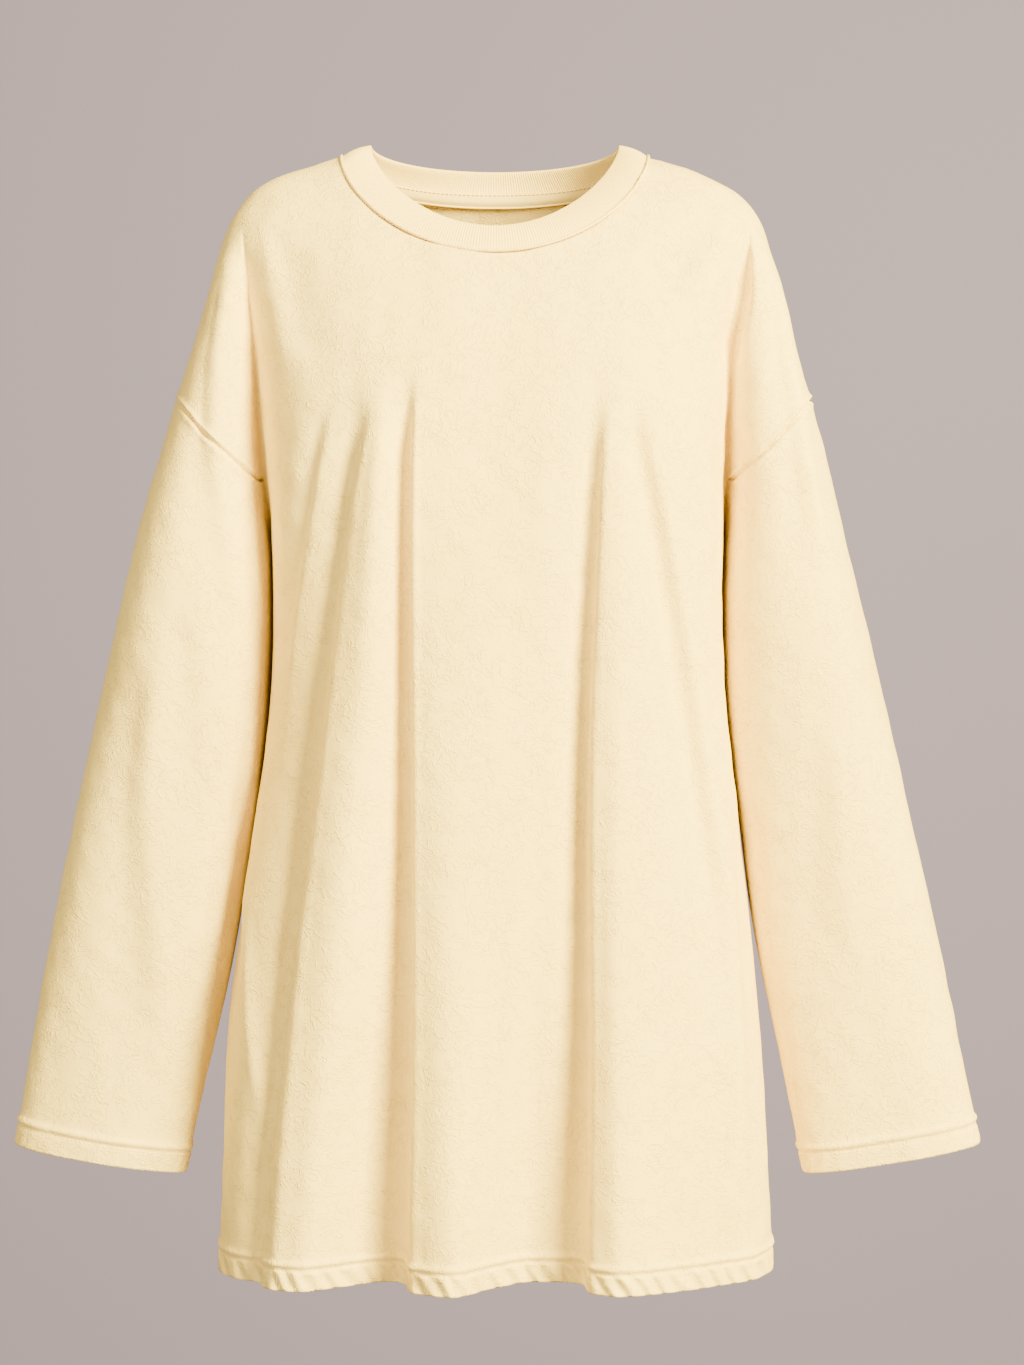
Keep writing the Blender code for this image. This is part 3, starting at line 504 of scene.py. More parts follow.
# Creases, listed one by one: heights from the top down, places across, half width, how deep
# (a minus stands out) and how much the cloth lifts beside it (a minus is its left)
creaseNames = ("z", "x", "width", "depth", "lip")
creaseSides = {"steep": 0.8, "slow": 1.6, "lipAt": 1.25, "lipWidth": 0.5, "top": 0.75, "widen": 0.6,
               "fadeTop": 0.28, "fadeTopMost": 0.050, "fadeEnd": 0.35, "fadeSide": 0.020, "step": 0.002}
creases = {"front": [
    ((-0.066, -0.152, -0.206, -0.257, -0.315, -0.403),
     (-0.189, -0.203, -0.205, -0.198, -0.191, -0.180), 0.010, 0.0034, 0.0010),
    ((-0.238, -0.304), (-0.176, -0.165), 0.004, 0.0012, -0.0005),
    ((-0.050, -0.101, -0.135, -0.180), (-0.152, -0.139, -0.130, -0.110), 0.011, 0.0030, -0.0012),
    ((-0.172, -0.204, -0.272, -0.344, -0.430), (-0.106, -0.119, -0.132, -0.145, -0.156),
     0.006, 0.0034, 0.0010),
    ((-0.174, -0.198, -0.227, -0.317, -0.409, -0.500, -0.612, -0.702, -0.790),
     (-0.086, -0.090, -0.097, -0.111, -0.122, -0.133, -0.144, -0.153, -0.161), 0.0062, 0.0040, 0.0012),
    ((-0.172, -0.205, -0.340, -0.430), (-0.073, -0.075, -0.084, -0.090), 0.009, -0.0016, 0.0),
    ((-0.172, -0.230, -0.477, -0.660, -0.790), (-0.0585, -0.060, -0.0615, -0.063, -0.067),
     0.0066, 0.0042, 0.0013),
    ((-0.180, -0.227, -0.272, -0.409, -0.589, -0.790), (0.073, 0.067, 0.065, 0.060, 0.057, 0.056),
     0.0066, 0.0042, 0.0013),
    ((-0.178, -0.204, -0.272, -0.351, -0.443, -0.544, -0.650),
     (0.093, 0.096, 0.109, 0.123, 0.138, 0.154, 0.162), 0.0080, 0.0068, 0.0016),
    ((-0.052, -0.095, -0.112, -0.135, -0.175), (0.175, 0.173, 0.171, 0.166, 0.162),
     0.0065, 0.0050, 0.0016),
    ((-0.066, -0.135, -0.190, -0.211, -0.264, -0.330), (0.189, 0.196, 0.202, 0.204, 0.211, 0.218),
     0.009, 0.0040, 0.0014),
    ((-0.040, -0.060, -0.085, -0.120), (0.150, 0.144, 0.128, 0.116), 0.012, 0.0030, 0.0010),
    ((-0.400, -0.513, -0.600), (0.221, 0.220, 0.232), 0.016, 0.0036, 0.0010),
    ((-0.330, -0.440, -0.560, -0.660), (0.262, 0.276, 0.285, 0.300), 0.015, 0.0024, 0.0),
    ((-0.350, -0.471, -0.591, -0.660), (-0.246, -0.259, -0.257, -0.268), 0.015, 0.0036, 0.0012),
    ((-0.300, -0.400, -0.500), (-0.222, -0.214, -0.214), 0.012, 0.0022, 0.0),
    ((-0.485, -0.545, -0.605, -0.670, -0.715), (-0.170, -0.173, -0.169, -0.160, -0.150),
     0.005, -0.0030, 0.0),
    ((-0.420, -0.500, -0.580, -0.640), (-0.176, -0.180, -0.184, -0.186), 0.006, 0.0050, 0.0),
    ((-0.450, -0.560, -0.680, -0.780), (0.172, 0.176, 0.180, 0.182), 0.008, 0.0030, -0.0008),
    ((-0.495, -0.574, -0.683, -0.765), (-0.125, -0.135, -0.148, -0.159), 0.004, -0.0014, 0.0),
], "back": [
    ((-0.056, -0.140, -0.210, -0.330), (0.190, 0.201, 0.203, 0.188), 0.010, 0.0034, -0.0010),
    ((-0.060, -0.150, -0.250, -0.340), (-0.190, -0.199, -0.202, -0.196), 0.010, 0.0036, 0.0010),
    ((-0.050, -0.105, -0.150, -0.195), (0.150, 0.138, 0.126, 0.104), 0.011, 0.0030, 0.0012),
    ((-0.046, -0.100, -0.160, -0.210), (-0.148, -0.136, -0.120, -0.100), 0.012, 0.0028, -0.0010),
    ((-0.170, -0.260, -0.380, -0.520), (-0.070, -0.076, -0.086, -0.092), 0.007, 0.0024, 0.0008),
    ((-0.180, -0.300, -0.460, -0.620), (0.068, 0.072, 0.078, 0.084), 0.007, 0.0024, -0.0008),
    ((-0.200, -0.320, -0.470), (-0.004, -0.008, -0.006), 0.012, 0.0026, 0.0),
    ((-0.230, -0.330, -0.450, -0.560), (0.120, 0.132, 0.142, 0.150), 0.009, 0.0024, 0.0010),
    ((-0.230, -0.350, -0.470, -0.600), (-0.118, -0.130, -0.144, -0.150), 0.009, 0.0026, -0.0010),
    ((-0.340, -0.470, -0.600, -0.670), (0.246, 0.258, 0.262, 0.274), 0.015, 0.0034, 0.0010),
    ((-0.310, -0.430, -0.560), (0.214, 0.216, 0.232), 0.013, 0.0026, 0.0),
    ((-0.350, -0.480, -0.600, -0.660), (-0.240, -0.256, -0.264, -0.274), 0.015, 0.0036, -0.0010),
    ((-0.300, -0.420, -0.520), (-0.214, -0.212, -0.220), 0.013, 0.0024, 0.0),
    ((-0.018, -0.050, -0.090), (-0.0022, -0.0021, -0.0020), 0.0022, 0.0014, 0.0),
]}
creases = {face: [dict(zip(creaseNames, row)) for row in rows] for face, rows in creases.items()}


# How far the creases move the cloth out at places seen from the front or back
def creaseOffset(face, x, z):
    out = np.zeros(x.shape)
    step = creaseSides["step"]
    for crease in creases[face]:
        top, bottom = crease["z"][0], crease["z"][-1]
        inside = (z < top) & (z > bottom)
        height = z[inside]
        knots, places = crease["z"][::-1], crease["x"][::-1]
        line = smoothThrough(knots, places, height)
        rise = smoothThrough(knots, places, height + step) - smoothThrough(knots, places, height - step)
        across = (x[inside] - line) / np.sqrt(1 + (rise / (2 * step)) ** 2)
        down = (top - height) / (top - bottom)
        width = crease["width"] * (creaseSides["top"] + creaseSides["widen"] * down)
        longest = min(creaseSides["fadeTop"] * (top - bottom), creaseSides["fadeTopMost"])
        fade = ease(0, longest, top - height)
        if bottom > levels["hem"]:
            fade = fade * ease(0, creaseSides["fadeEnd"], 1 - down)
        toLip = across * np.sign(crease["lip"])
        slow = np.where(toLip < 0, creaseSides["slow"], 1.0)
        shape = -crease["depth"] * bell(across, width * np.where(toLip > 0, creaseSides["steep"], slow))
        beyond = toLip - creaseSides["lipAt"] * width
        out[inside] += fade * (shape + abs(crease["lip"]) * bell(beyond, creaseSides["lipWidth"] * width))
    return out


# Soft uneven waves, the sum of a few sines with fixed random directions
def ripple(points, length, seed, stretch=1.0):
    random = np.random.RandomState(seed)
    total = np.zeros(len(points))
    for k in range(7):
        direction = random.normal(size=3)
        direction /= np.linalg.norm(direction)
        direction[2] /= stretch
        wave = 2 * np.pi / (length * random.uniform(0.7, 1.5))
        total += np.sin(points @ direction * wave + random.uniform(0, 6.28))
    return total / 2.6


# Relief: soft waves of the cloth, then the armhole seam, the stitched hem with its
# ropes, and the dip at the collar. Heights, and how long, wide or far away each is
waves = ({"height": 0.0008, "length": 0.075, "seed": 3, "stretch": 2.4},
         {"height": 0.00022, "length": 0.021, "seed": 8, "stretch": 1.3})
seamRelief = {"near": 0.05, "gather": 0.0003, "length": 0.012, "seed": 21, "lean": 0.3, "reach": 0.008,
              "valley": 0.0017, "valleyWidth": 0.0010, "swell": 0.0009, "swellAt": 0.0028,
              "swellWidth": 0.0016, "above": 1.5, "below": 0.8}
hemRelief = {"top": 0.030, "rope": 0.0005, "pitch": 0.0125, "low": -0.001, "high": 0.0145, "fade": 0.004,
             "even": 0.80, "uneven": 0.20, "length": 0.090, "seed": 33, "lean": 0.45, "sway": 0.004,
             "swayLength": 0.050, "swaySeed": 35, "pucker": 0.25, "puckerTurns": 1.7, "puckerAt": 0.022,
             "puckerWidth": 0.006, "roll": 0.0013, "rollAt": 0.0180, "rollWidth": 0.0022, "valley": 0.0009,
             "stitchAt": 0.014, "valleyWidth": 0.0011, "step": 0.0005, "stepAt": 0.0205, "stepEase": 0.003}
neckRelief = {"dip": 0.0012, "width": 0.0016, "x": 0.125, "z": -0.090, "fadeFrom": 0.095, "fadeTo": 0.110,
              "steps": 160}


def fineOffset(points, along, band, seam):
    out = np.zeros(len(points))
    for wave in waves:
        out += wave["height"] * ripple(points, wave["length"], wave["seed"], wave["stretch"])

    size = seamRelief
    near = np.abs(seam) < size["near"]
    d = seam[near]
    flat = np.stack([along[near], d * 0, d * size["lean"]], axis=1)
    gather = size["gather"] * ripple(flat, size["length"], size["seed"])
    gather = gather * np.exp(-np.abs(d) / size["reach"])
    swell = size["swell"] * bell(np.abs(d) - size["swellAt"], size["swellWidth"])
    swell = swell * np.where(d > 0, size["above"], size["below"])
    out[near] += gather - size["valley"] * bell(d, size["valleyWidth"]) + swell

    size = hemRelief
    low = band < size["top"]
    h, a = band[low], along[low]
    flat = np.stack([a, a * 0, a * 0], axis=1)
    strength = size["even"] + size["uneven"] * ripple(flat, size["length"], size["seed"])
    sway = size["sway"] * ripple(flat, size["swayLength"], size["swaySeed"])
    phase = 2 * np.pi * (a + size["lean"] * h + sway) / size["pitch"]
    inside = ease(size["low"], size["fade"], h) * ease(0, size["fade"], size["high"] - h)
    pucker = size["pucker"] * np.sin(phase * size["puckerTurns"])
    pucker = pucker * bell(h - size["puckerAt"], size["puckerWidth"])
    out[low] += size["rope"] * (strength * np.sin(phase) * inside + pucker)
    out[low] += size["roll"] * bell(h - size["rollAt"], size["rollWidth"])
    out[low] -= size["valley"] * bell(h - size["stitchAt"], size["valleyWidth"])
    out[low] += size["step"] * ease(0, size["stepEase"], size["stepAt"] - h)
    return out


# The front dips where it passes under the collar's edge
def neckDip(points):
    out = np.zeros(len(points))
    x = np.abs(points[:, 0])
    near = (x < neckRelief["x"]) & (points[:, 2] > neckRelief["z"])
    line = []
    for face in forward:
        across, height = neckLine(face, np.linspace(0, 90, neckRelief["steps"]))
        line += [bodyPoint(side, face, across, np.minimum(height, neck["under"])) for side in sign]
    line = np.concatenate(line)
    distance = np.linalg.norm(points[near][:, None] - line[None], axis=2).min(axis=1)
    front = (points[near][:, 1] < 0) * ease(-neckRelief["fadeTo"], -neckRelief["fadeFrom"], -x[near])
    out[near] = -neckRelief["dip"] * bell(distance, neckRelief["width"]) * front
    return out


# Share of the relief that is left where body and sleeve almost touch
slitSizes = {"calm": 0.85, "across": 0.010, "deep": 0.030, "from": 0.255, "to": 0.280}


def calmAtSlit(points):
    z = points[:, 2]
    slit = (read(bodyEdge, "left", z) + read(armInner, "left", z)) / 2
    near = bell(np.abs(points[:, 0]) - slit, slitSizes["across"]) * bell(points[:, 1], slitSizes["deep"])
    return 1 - slitSizes["calm"] * near * ease(slitSizes["from"], slitSizes["to"], -z)


# One joined net of the whole outer surface, with its pieces' quads. Each point knows
# its place along the seam or hem, its height over the hem and its distance from the seam
def buildSkin():
    grids, rings = [], {}
    flapFrom = grooveMiddle + 1
    for side in sign:
        for face in forward:
            upper = upperGrid(side, face)
            lower = lowerGrid(side, face)
            far = np.full(upper.shape[:2], 1.0)
            seam = far.copy()
            seam[:, flapFrom:] = upper[:, flapFrom:, 2] - upper[-1:, flapFrom:, 2] + netSizes["least"]
            alongSeam = far * 0.0
            steps = np.arange(upper.shape[1] - flapFrom)[::-1]
            alongSeam[:, flapFrom:] = -sign[side] * forward[face] * netSizes["seamStep"] * steps
            grids.append((face, side, upper, alongSeam, far, seam))
            beyond = 1 + np.arange(1, lower.shape[1] - mesh["body"]) / mesh["body"]
            share = np.concatenate([columnShares(), beyond])[None, :]
            band = np.repeat(lower[:, :1, 2] - levels["hem"], lower.shape[1], axis=1)
            along = np.repeat(sign[side] * netSizes["halfHem"] * share, lower.shape[0], axis=0)
            if face == "back":
                along = along + netSizes["backFrom"]
            grids.append((face, side, lower, along, band, np.full(band.shape, 1.0)))
            flaps = upper[-1, grooveMiddle:][::-1]
            rings[side, face] = np.concatenate([flaps, lower[:mesh["underarmRows"] + 1, -1]])
    for side, face in rings:
        ring = rings[side, face]
        grid = sleeveGrid(side, face, ring)
        length = ring[None, :, 2] - grid[-1:, :, 2]
        down = sleeveSteps[:, None] * length
        along = -sign[side] * forward[face] * netSizes["seamStep"] * np.arange(len(ring))[None, :]
        grids.append(("sleeve_" + side, side, grid, np.broadcast_to(along, down.shape), length - down,
                      -down - netSizes["least"]))
    points = np.concatenate([g[2].reshape(-1, 3) for g in grids])
    facts = [np.concatenate([g[i].reshape(-1) for g in grids]) for i in (3, 4, 5)]
    keys = np.round(points / netSizes["same"]).astype(np.int64)
    _, first, inverse = np.unique(keys, axis=0, return_index=True, return_inverse=True)
    inverse = inverse.reshape(-1)
    quads, rows = {}, {}
    start = 0
    for piece, side, grid, *_ in grids:
        count = grid.shape[0] * grid.shape[1]
        index = inverse[start:start + count].reshape(grid.shape[:2])
        start += count
        a, b, c, d = index[:-1, :-1], index[1:, :-1], index[1:, 1:], index[:-1, 1:]
        stack = np.stack([a, b, c, d], axis=-1).reshape(-1, 4)
        flip = side == "left" if piece == "front" else side == "right"
        if piece.startswith("sleeve"):
            flip = (side == "left") != (grid[grid.shape[0] // 2, grid.shape[1] // 2, 1] < 0)
        quads.setdefault(piece, []).append(stack[:, ::-1] if flip else stack)
        rows.setdefault(piece, []).append(index)
    quads = {piece: np.concatenate(parts) for piece, parts in quads.items()}
    return points[first], [fact[first] for fact in facts], quads, rows


def normalsOf(points, quads):
    normals = np.zeros_like(points)
    for i, j, k in ((0, 1, 2), (0, 2, 3)):
        a, b, c = points[quads[:, i]], points[quads[:, j]], points[quads[:, k]]
        face = np.cross(b - a, c - a)
        for corner in (i, j, k):
            np.add.at(normals, quads[:, corner], face)
    return unit(normals)


def newMesh(name, points, faces, material):
    data = bpy.data.meshes.new(name)
    data.from_pydata([tuple(p) for p in points], [], faces)
    data.validate(verbose=False)
    data.shade_smooth()
    data.materials.append(material)
    piece = bpy.data.objects.new(name, data)
    bpy.context.scene.collection.objects.link(piece)
    return piece


def cleanLoops(quads):
    loops = []
    for quad in quads.tolist():
        loop = [v for k, v in enumerate(quad) if v != quad[k - 1]]
        if len(loop) > 2 and len(set(loop)) == len(loop):
            loops.append(loop)
    return loops


# A thin wall: the outer surface, the same moved in, and the rim between them
def addWall(name, outer, inner, quads, material):
    loops = cleanLoops(quads)
    used = np.unique(np.concatenate([np.array(loop) for loop in loops]))
    place = {v: k for k, v in enumerate(used.tolist())}
    count = len(used)
    faces = []
    edges = {}
    for loop in loops:
        local = [place[v] for v in loop]
        faces.append(local)
        faces.append([v + count for v in reversed(local)])
        for a, b in zip(local, local[1:] + local[:1]):
            if (b, a) in edges:
                del edges[(b, a)]
            else:
                edges[(a, b)] = True
    for a, b in edges:
        faces.append([b, a, a + count, b + count])
    return newMesh(name, np.concatenate([outer[used], inner[used]]), faces, material)


# Three sorts of cotton, all matt with a faint nap
jerseyLook = {"color": (0.94, 0.77, 0.42), "deep": (0.90, 0.70, 0.33), "deepShare": 0.45, "mottle": 9.0,
              "mottleFrom": 0.35, "mottleTo": 0.70, "crinkle": 85.0, "crinkleHeight": 0.00024,
              "grain": 1500.0, "grainHeight": 0.00006, "roughness": 0.86, "specular": 0.25,
              "sheen": 0.08, "sheenTint": (1.0, 0.95, 0.85, 1)}
ribLook = dict(jerseyLook, color=(0.93, 0.75, 0.385), crinkleHeight=0.00006)
tapeLook = dict(jerseyLook, color=(0.93, 0.77, 0.44), crinkleHeight=0.00004)

# Curved hairline creases, where a bent noise crosses a middle value. For each set of
# them: how much finer than the crinkle, that value, and the scale of their breaks
hairLook = {"sets": ((1.0, 0.47, 38.0), (1.35, 0.54, 51.0)), "width": 0.040, "bend": 1.2,
            "breaksFrom": 0.34, "breaksTo": 0.50, "softScale": 0.8, "softShare": 0.9}

# Slanting ropes in the cloth of the turned-up hem: how far apart, how high, how
# far they lean, how uneven, and the heights between which they start
ropeLook = {"pitch": 0.0105, "height": 0.0019, "lean": 0.55, "uneven": 3.0, "from": -0.7705, "to": -0.7745}
# Thread colours: the real thread is the cloth's colour; these darker ones are painted shade of the holes
# round each stitch, darkest for the tape's dashes
threadLookPaintedShade = {"hem": (0.80, 0.60, 0.30), "tape": (0.45, 0.29, 0.12), "roughness": 0.7}


def newMaterial(name, color, roughness, specular=0.5):
    material = bpy.data.materials.new(name)
    material.use_nodes = True
    shader = material.node_tree.nodes["Principled BSDF"]
    shader.inputs["Base Color"].default_value = (*color, 1)
    shader.inputs["Roughness"].default_value = roughness
    shader.inputs["Specular IOR Level"].default_value = specular
    return material, shader


# A shader node with its constants and with what is linked to its sockets
def addNode(tree, kind, links, constants):
    node = tree.nodes.new("ShaderNode" + kind)
    for socket, value in constants.items():
        node.inputs[socket].default_value = value
    for socket, source in links.items():
        tree.links.new(source, node.inputs[socket])
    return node


# A value's share of the way from low to high, moved to start and end
def ramp(tree, value, low, high, start=0.0, end=1.0, kind="LINEAR"):
    node = addNode(tree, "MapRange", {"Value": value},
                   {"From Min": low, "From Max": high, "To Min": start, "To Max": end})
    node.interpolation_type = kind
    return node.outputs[0]


def newCotton(name, look, ropes=False):
    material, shader = newMaterial(name, look["color"], look["roughness"], look["specular"])
    shader.inputs["Sheen Weight"].default_value = look["sheen"]
    shader.inputs["Sheen Tint"].default_value = look["sheenTint"]
    tree = material.node_tree
    place = tree.nodes.new("ShaderNodeTexCoord").outputs["Object"]

    def noise(scale, detail, distortion=0.0):
        return addNode(tree, "TexNoise", {"Vector": place},
                       {"Scale": scale, "Detail": detail, "Distortion": distortion}).outputs["Fac"]

    def sums(operation, *values):
        constants = {k: value for k, value in enumerate(values) if isinstance(value, float)}
        links = {k: value for k, value in enumerate(values) if not isinstance(value, float)}
        node = addNode(tree, "Math", links, constants)
        node.operation = operation
        return node.outputs[0]

    mottle = ramp(tree, noise(look["mottle"], 5.0, 0.3), look["mottleFrom"], look["mottleTo"])
    color = tree.nodes.new("ShaderNodeMix")
    color.data_type = "RGBA"
    color.inputs[6].default_value = (*look["color"], 1)
    color.inputs[7].default_value = (*look["deep"], 1)
    tree.links.new(sums("MULTIPLY", mottle, look["deepShare"]), color.inputs[0])
    tree.links.new(color.outputs[2], shader.inputs["Base Color"])

    def hairlines(finer, level, breaks):
        value = noise(look["crinkle"] * finer, 2.0, hairLook["bend"])
        away = sums("ABSOLUTE", sums("SUBTRACT", value, level))
        line = ramp(tree, away, 0.0, hairLook["width"], 1.0, 0.0, "SMOOTHSTEP")
        patches = ramp(tree, noise(breaks, 2.0), hairLook["breaksFrom"], hairLook["breaksTo"])
        return sums("MULTIPLY", line, patches)

    veins = sums("ADD", *[hairlines(*row) for row in hairLook["sets"]])
    soft = noise(look["crinkle"] * hairLook["softScale"], 4.0, 0.4)
    crinkle = sums("ADD", veins, sums("MULTIPLY", soft, hairLook["softShare"]))
    grain = sums("MULTIPLY", noise(look["grain"], 1.0), look["grainHeight"])
    height = sums("ADD", sums("MULTIPLY", crinkle, look["crinkleHeight"]), grain)
    if ropes:
        leaning = addNode(tree, "Mapping", {"Vector": place}, {"Rotation": (0.0, ropeLook["lean"], 0.0)})
        wave = addNode(tree, "TexWave", {"Vector": leaning.outputs["Vector"]},
                       {"Scale": float(np.pi / (10 * ropeLook["pitch"])), "Distortion": ropeLook["uneven"],
                        "Detail Scale": 1.0}).outputs["Fac"]
        level = addNode(tree, "SeparateXYZ", {"Vector": place}, {}).outputs["Z"]
        share = ramp(tree, level, ropeLook["from"], ropeLook["to"], 0.0, ropeLook["height"], "SMOOTHSTEP")
        height = sums("MULTIPLY_ADD", wave, share, height)
    bump = addNode(tree, "Bump", {"Height": height}, {"Strength": 1.0, "Distance": 1.0})
    tree.links.new(bump.outputs["Normal"], shader.inputs["Normal"])
    return material


jersey = newCotton("cotton_jersey", jerseyLook, ropes=True)
rib = newCotton("rib_knit", ribLook)
tapeCloth = newCotton("neck_tape_twill", tapeLook)
# The two threads carry painted shade in their colour
hemThreadPaintedShade = newMaterial("sewing_thread_painted_shade", threadLookPaintedShade["hem"], threadLookPaintedShade["roughness"])[0]
tapeThreadPaintedShade = newMaterial("tape_thread_painted_shade", threadLookPaintedShade["tape"], threadLookPaintedShade["roughness"])[0]


# The four cloth pieces
points, (along, band, seam), quads, rows = buildSkin()
allQuads = np.concatenate(list(quads.values()))
normals = normalsOf(points, allQuads)
isFront = points[:, 1] <= 0
offset = fineOffset(points, along, band, seam) + neckDip(points)
for face, chosen in (("front", isFront), ("back", ~isFront)):
    x, y, z = points[chosen].T
    offset[chosen] += creaseOffset(face, x, z) * ease(0.0, creaseSides["fadeSide"], np.abs(y))
offset *= calmAtSlit(points)
points = points + normals * offset[:, None]
normals = normalsOf(points, allQuads)
inner = points - normals * cloth["thickness"]
pieces = {name: addWall(name + "_cloth", points, inner, part, jersey) for name, part in quads.items()}
print("cloth pieces made:", {name: len(piece.data.polygons) for name, piece in pieces.items()})


# Ribbed collar: a folded band, ribs across it, rounded at its top fold
collarSizes = {"halfWidth": 0.0885, "topSide": 0.009, "topFront": (-0.063, -0.059),
               "topBack": (0.055, 0.001), "thickness": 0.0024, "bulge": 0.0014, "depthEase": 0.85,
               "heightEase": 1.3, "edge": 0.0005, "edgeReach": 0.05, "outRows": 13, "inRows": 7,
               "topTurns": (30, 60, 90, 120, 150)}
ribSizes = {"count": 330, "points": 5, "height": 0.00026, "start": 0.3, "grow": 4, "top": 0.7,
            "inside": 0.8}


# Faces between closed rings of points, the last ring joined to the first if asked
def ringFaces(rings, count, closed, base=0):
    faces = []
    for row in range(rings if closed else rings - 1):
        here, below = base + row * count, base + (row + 1) % rings * count
        for k in range(count):
            after = (k + 1) % count
            faces.append([here + k, here + after, below + after, below + k])
    return faces


def collarLines(count):
    turns = 360 * np.arange(count) / count
    lower = np.zeros((count, 3))
    upper = np.zeros((count, 3))
    inBack = (turns > 90) & (turns < 270)
    for face in forward:
        onFace = inBack if face == "back" else ~inBack
        local = 180 - turns if face == "back" else np.where(turns > 180, turns - 360, turns)
        for side in sign:
            chosen = onFace & ((local < 0) if side == "left" else (local >= 0))
            turn = local[chosen]
            x, z = neckLine(face, turn)
            lower[chosen] = bodyPoint(side, face, np.abs(x), np.minimum(z, neck["under"]))
            y0, z0 = collarSizes["topFront"] if face == "front" else collarSizes["topBack"]
            fall = np.cos(np.radians(turn))
            top = collarSizes["topSide"]
            upper[chosen] = np.stack([collarSizes["halfWidth"] * np.sin(np.radians(turn)),
                                      y0 * fall ** collarSizes["depthEase"],
                                      top + (z0 - top) * fall ** collarSizes["heightEase"]], axis=1)
    alongRing = np.roll(upper, -1, axis=0) - np.roll(upper, 1, axis=0)
    normal = unit(np.cross(upper - lower, alongRing))
    normal *= np.sign(((lower - upper.mean(axis=0)) * normal).sum(axis=1))[:, None]
    return lower, upper, normal


def addCollar():
    size = collarSizes
    count = ribSizes["count"] * ribSizes["points"]
    lower, upper, normal = collarLines(count)
    height = np.linalg.norm(upper - lower, axis=1)[:, None]
    upright = (upper - lower) / height
    radius = size["thickness"] / 2
    wave = ribSizes["height"] * np.cos(2 * np.pi * np.arange(count) / ribSizes["points"])[:, None]
    shifts = []
    for share in np.linspace(0, 1, size["outRows"]):
        out = size["bulge"] * np.sin(np.pi * share) + size["edge"] * bell(share, size["edgeReach"])
        grown = min(1.0, ribSizes["start"] + ribSizes["grow"] * share)
        shifts.append((share * (height - radius), out + wave * grown))
    for turn in np.radians(size["topTurns"]):
        shifts.append((height - radius + radius * np.sin(turn),
                       radius * (np.cos(turn) - 1) + wave * ribSizes["top"]))
    for share in np.linspace(1, 0, size["inRows"]):
        out = ribSizes["inside"] * (size["bulge"] * np.sin(np.pi * share) + wave)
        shifts.append((share * (height - radius), out - size["thickness"]))
    places = np.concatenate([lower + upright * up + normal * out for up, out in shifts])
    collar = newMesh("collar_rib", places, ringFaces(len(shifts), count, True), rib)
    return collar, lower, upper, normal


collar, neckLower, neckUpper, neckNormal = addCollar()
print("collar made:", len(collar.data.polygons))


# A cord along a line of points, for seams and rolled edges
def addTube(name, line, radius, sides, material, closed=False):
    line = np.asarray(line)
    ahead = np.roll(line, -1, axis=0) - np.roll(line, 1, axis=0)
    if not closed:
        ahead[0] = line[1] - line[0]
        ahead[-1] = line[-1] - line[-2]
    ahead = unit(ahead)
    first = unit(np.cross(ahead, (0.001, 0.001, 1.001)))
    second = np.cross(ahead, first)
    turns = 2 * np.pi * np.arange(sides) / sides
    rings = [line + radius * (np.cos(t) * first + np.sin(t) * second) for t in turns]
    faces = ringFaces(len(line), sides, closed)
    if not closed:
        faces.append(list(range(sides))[::-1])
        faces.append([(len(line) - 1) * sides + s for s in range(sides)])
    return newMesh(name, np.stack(rings, axis=1).reshape(-1, 3), faces, material)


seamSizes = {"radius": 0.0011, "out": 0.0009, "step": 5, "sides": 8}
seamLine = (neckLower + neckNormal * seamSizes["out"])[::seamSizes["step"]]
neckSeam = addTube("neck_seam", seamLine, seamSizes["radius"], seamSizes["sides"], jersey, closed=True)


# Tape over the back neck seam, inside, with a rolled lower edge
tapeSizes = {"above": 0.0060, "below": 0.0040, "thickness": 0.0009, "turn": 80, "gap": 0.0003,
             "lean": 0.35, "hug": 0.0026, "puff": 0.0004, "rows": 9, "step": 4, "rollRadius": 0.0009,
             "rollSides": 8, "rollSunk": 0.8, "stitchDown": 0.0006, "stitchOut": 0.0003}


def addTape():
    size = tapeSizes
    count = len(neckLower)
    first = int(round((180 - size["turn"]) * count / 360))
    chosen = np.arange(first, count - first + 1, size["step"])
    upright = unit(neckUpper - neckLower)[chosen]
    normal = neckNormal[chosen]
    start = neckLower[chosen] - normal * (collarSizes["thickness"] + size["gap"])
    lean = unit(upright * size["lean"] + np.array([0.0, 0.0, 1 - size["lean"]]))
    outer, inside = [], []
    for up in np.linspace(-size["below"], size["above"], size["rows"]):
        way = lean if up < 0 else upright
        puff = size["puff"] * np.sin(np.pi * (up + size["below"]) / (size["above"] + size["below"]))
        line = start + way * up + normal * size["hug"] * max(0.0, -up / size["below"])
        outer.append(line)
        inside.append(line - normal * (size["thickness"] + puff))
    grid = np.arange(size["rows"] * len(chosen)).reshape(size["rows"], -1)
    net = np.stack([grid[:-1, :-1], grid[:-1, 1:], grid[1:, 1:], grid[1:, :-1]], axis=-1).reshape(-1, 4)
    tape = addWall("neck_tape_strip", np.concatenate(outer), np.concatenate(inside), net, tapeCloth)
    stitch = start + upright * (size["above"] - size["stitchDown"])
    stitch = stitch - normal * (size["thickness"] + size["stitchOut"])
    roll = start - lean * size["below"] + normal * (size["hug"] - size["rollRadius"] * size["rollSunk"])
    return tape, stitch, roll, -normal


tape, tapeStitch, tapeRoll, tapeOut = addTape()
tapeEdge = addTube("neck_tape_edge", tapeRoll, tapeSizes["rollRadius"], tapeSizes["rollSides"], tapeCloth)
print("neck seam and tape made")

# Stitches, each a short rounded thread: its rings are shares of its length and radius
stitchSizes = {"pitch": 0.0032, "length": 0.0024, "radius": 0.00040, "sink": 0.00005, "sides": 5,
               "ahead": 0.0008, "rings": ((-0.5, 0.35), (-0.3, 0.95), (0.3, 0.95), (0.5, 0.35))}


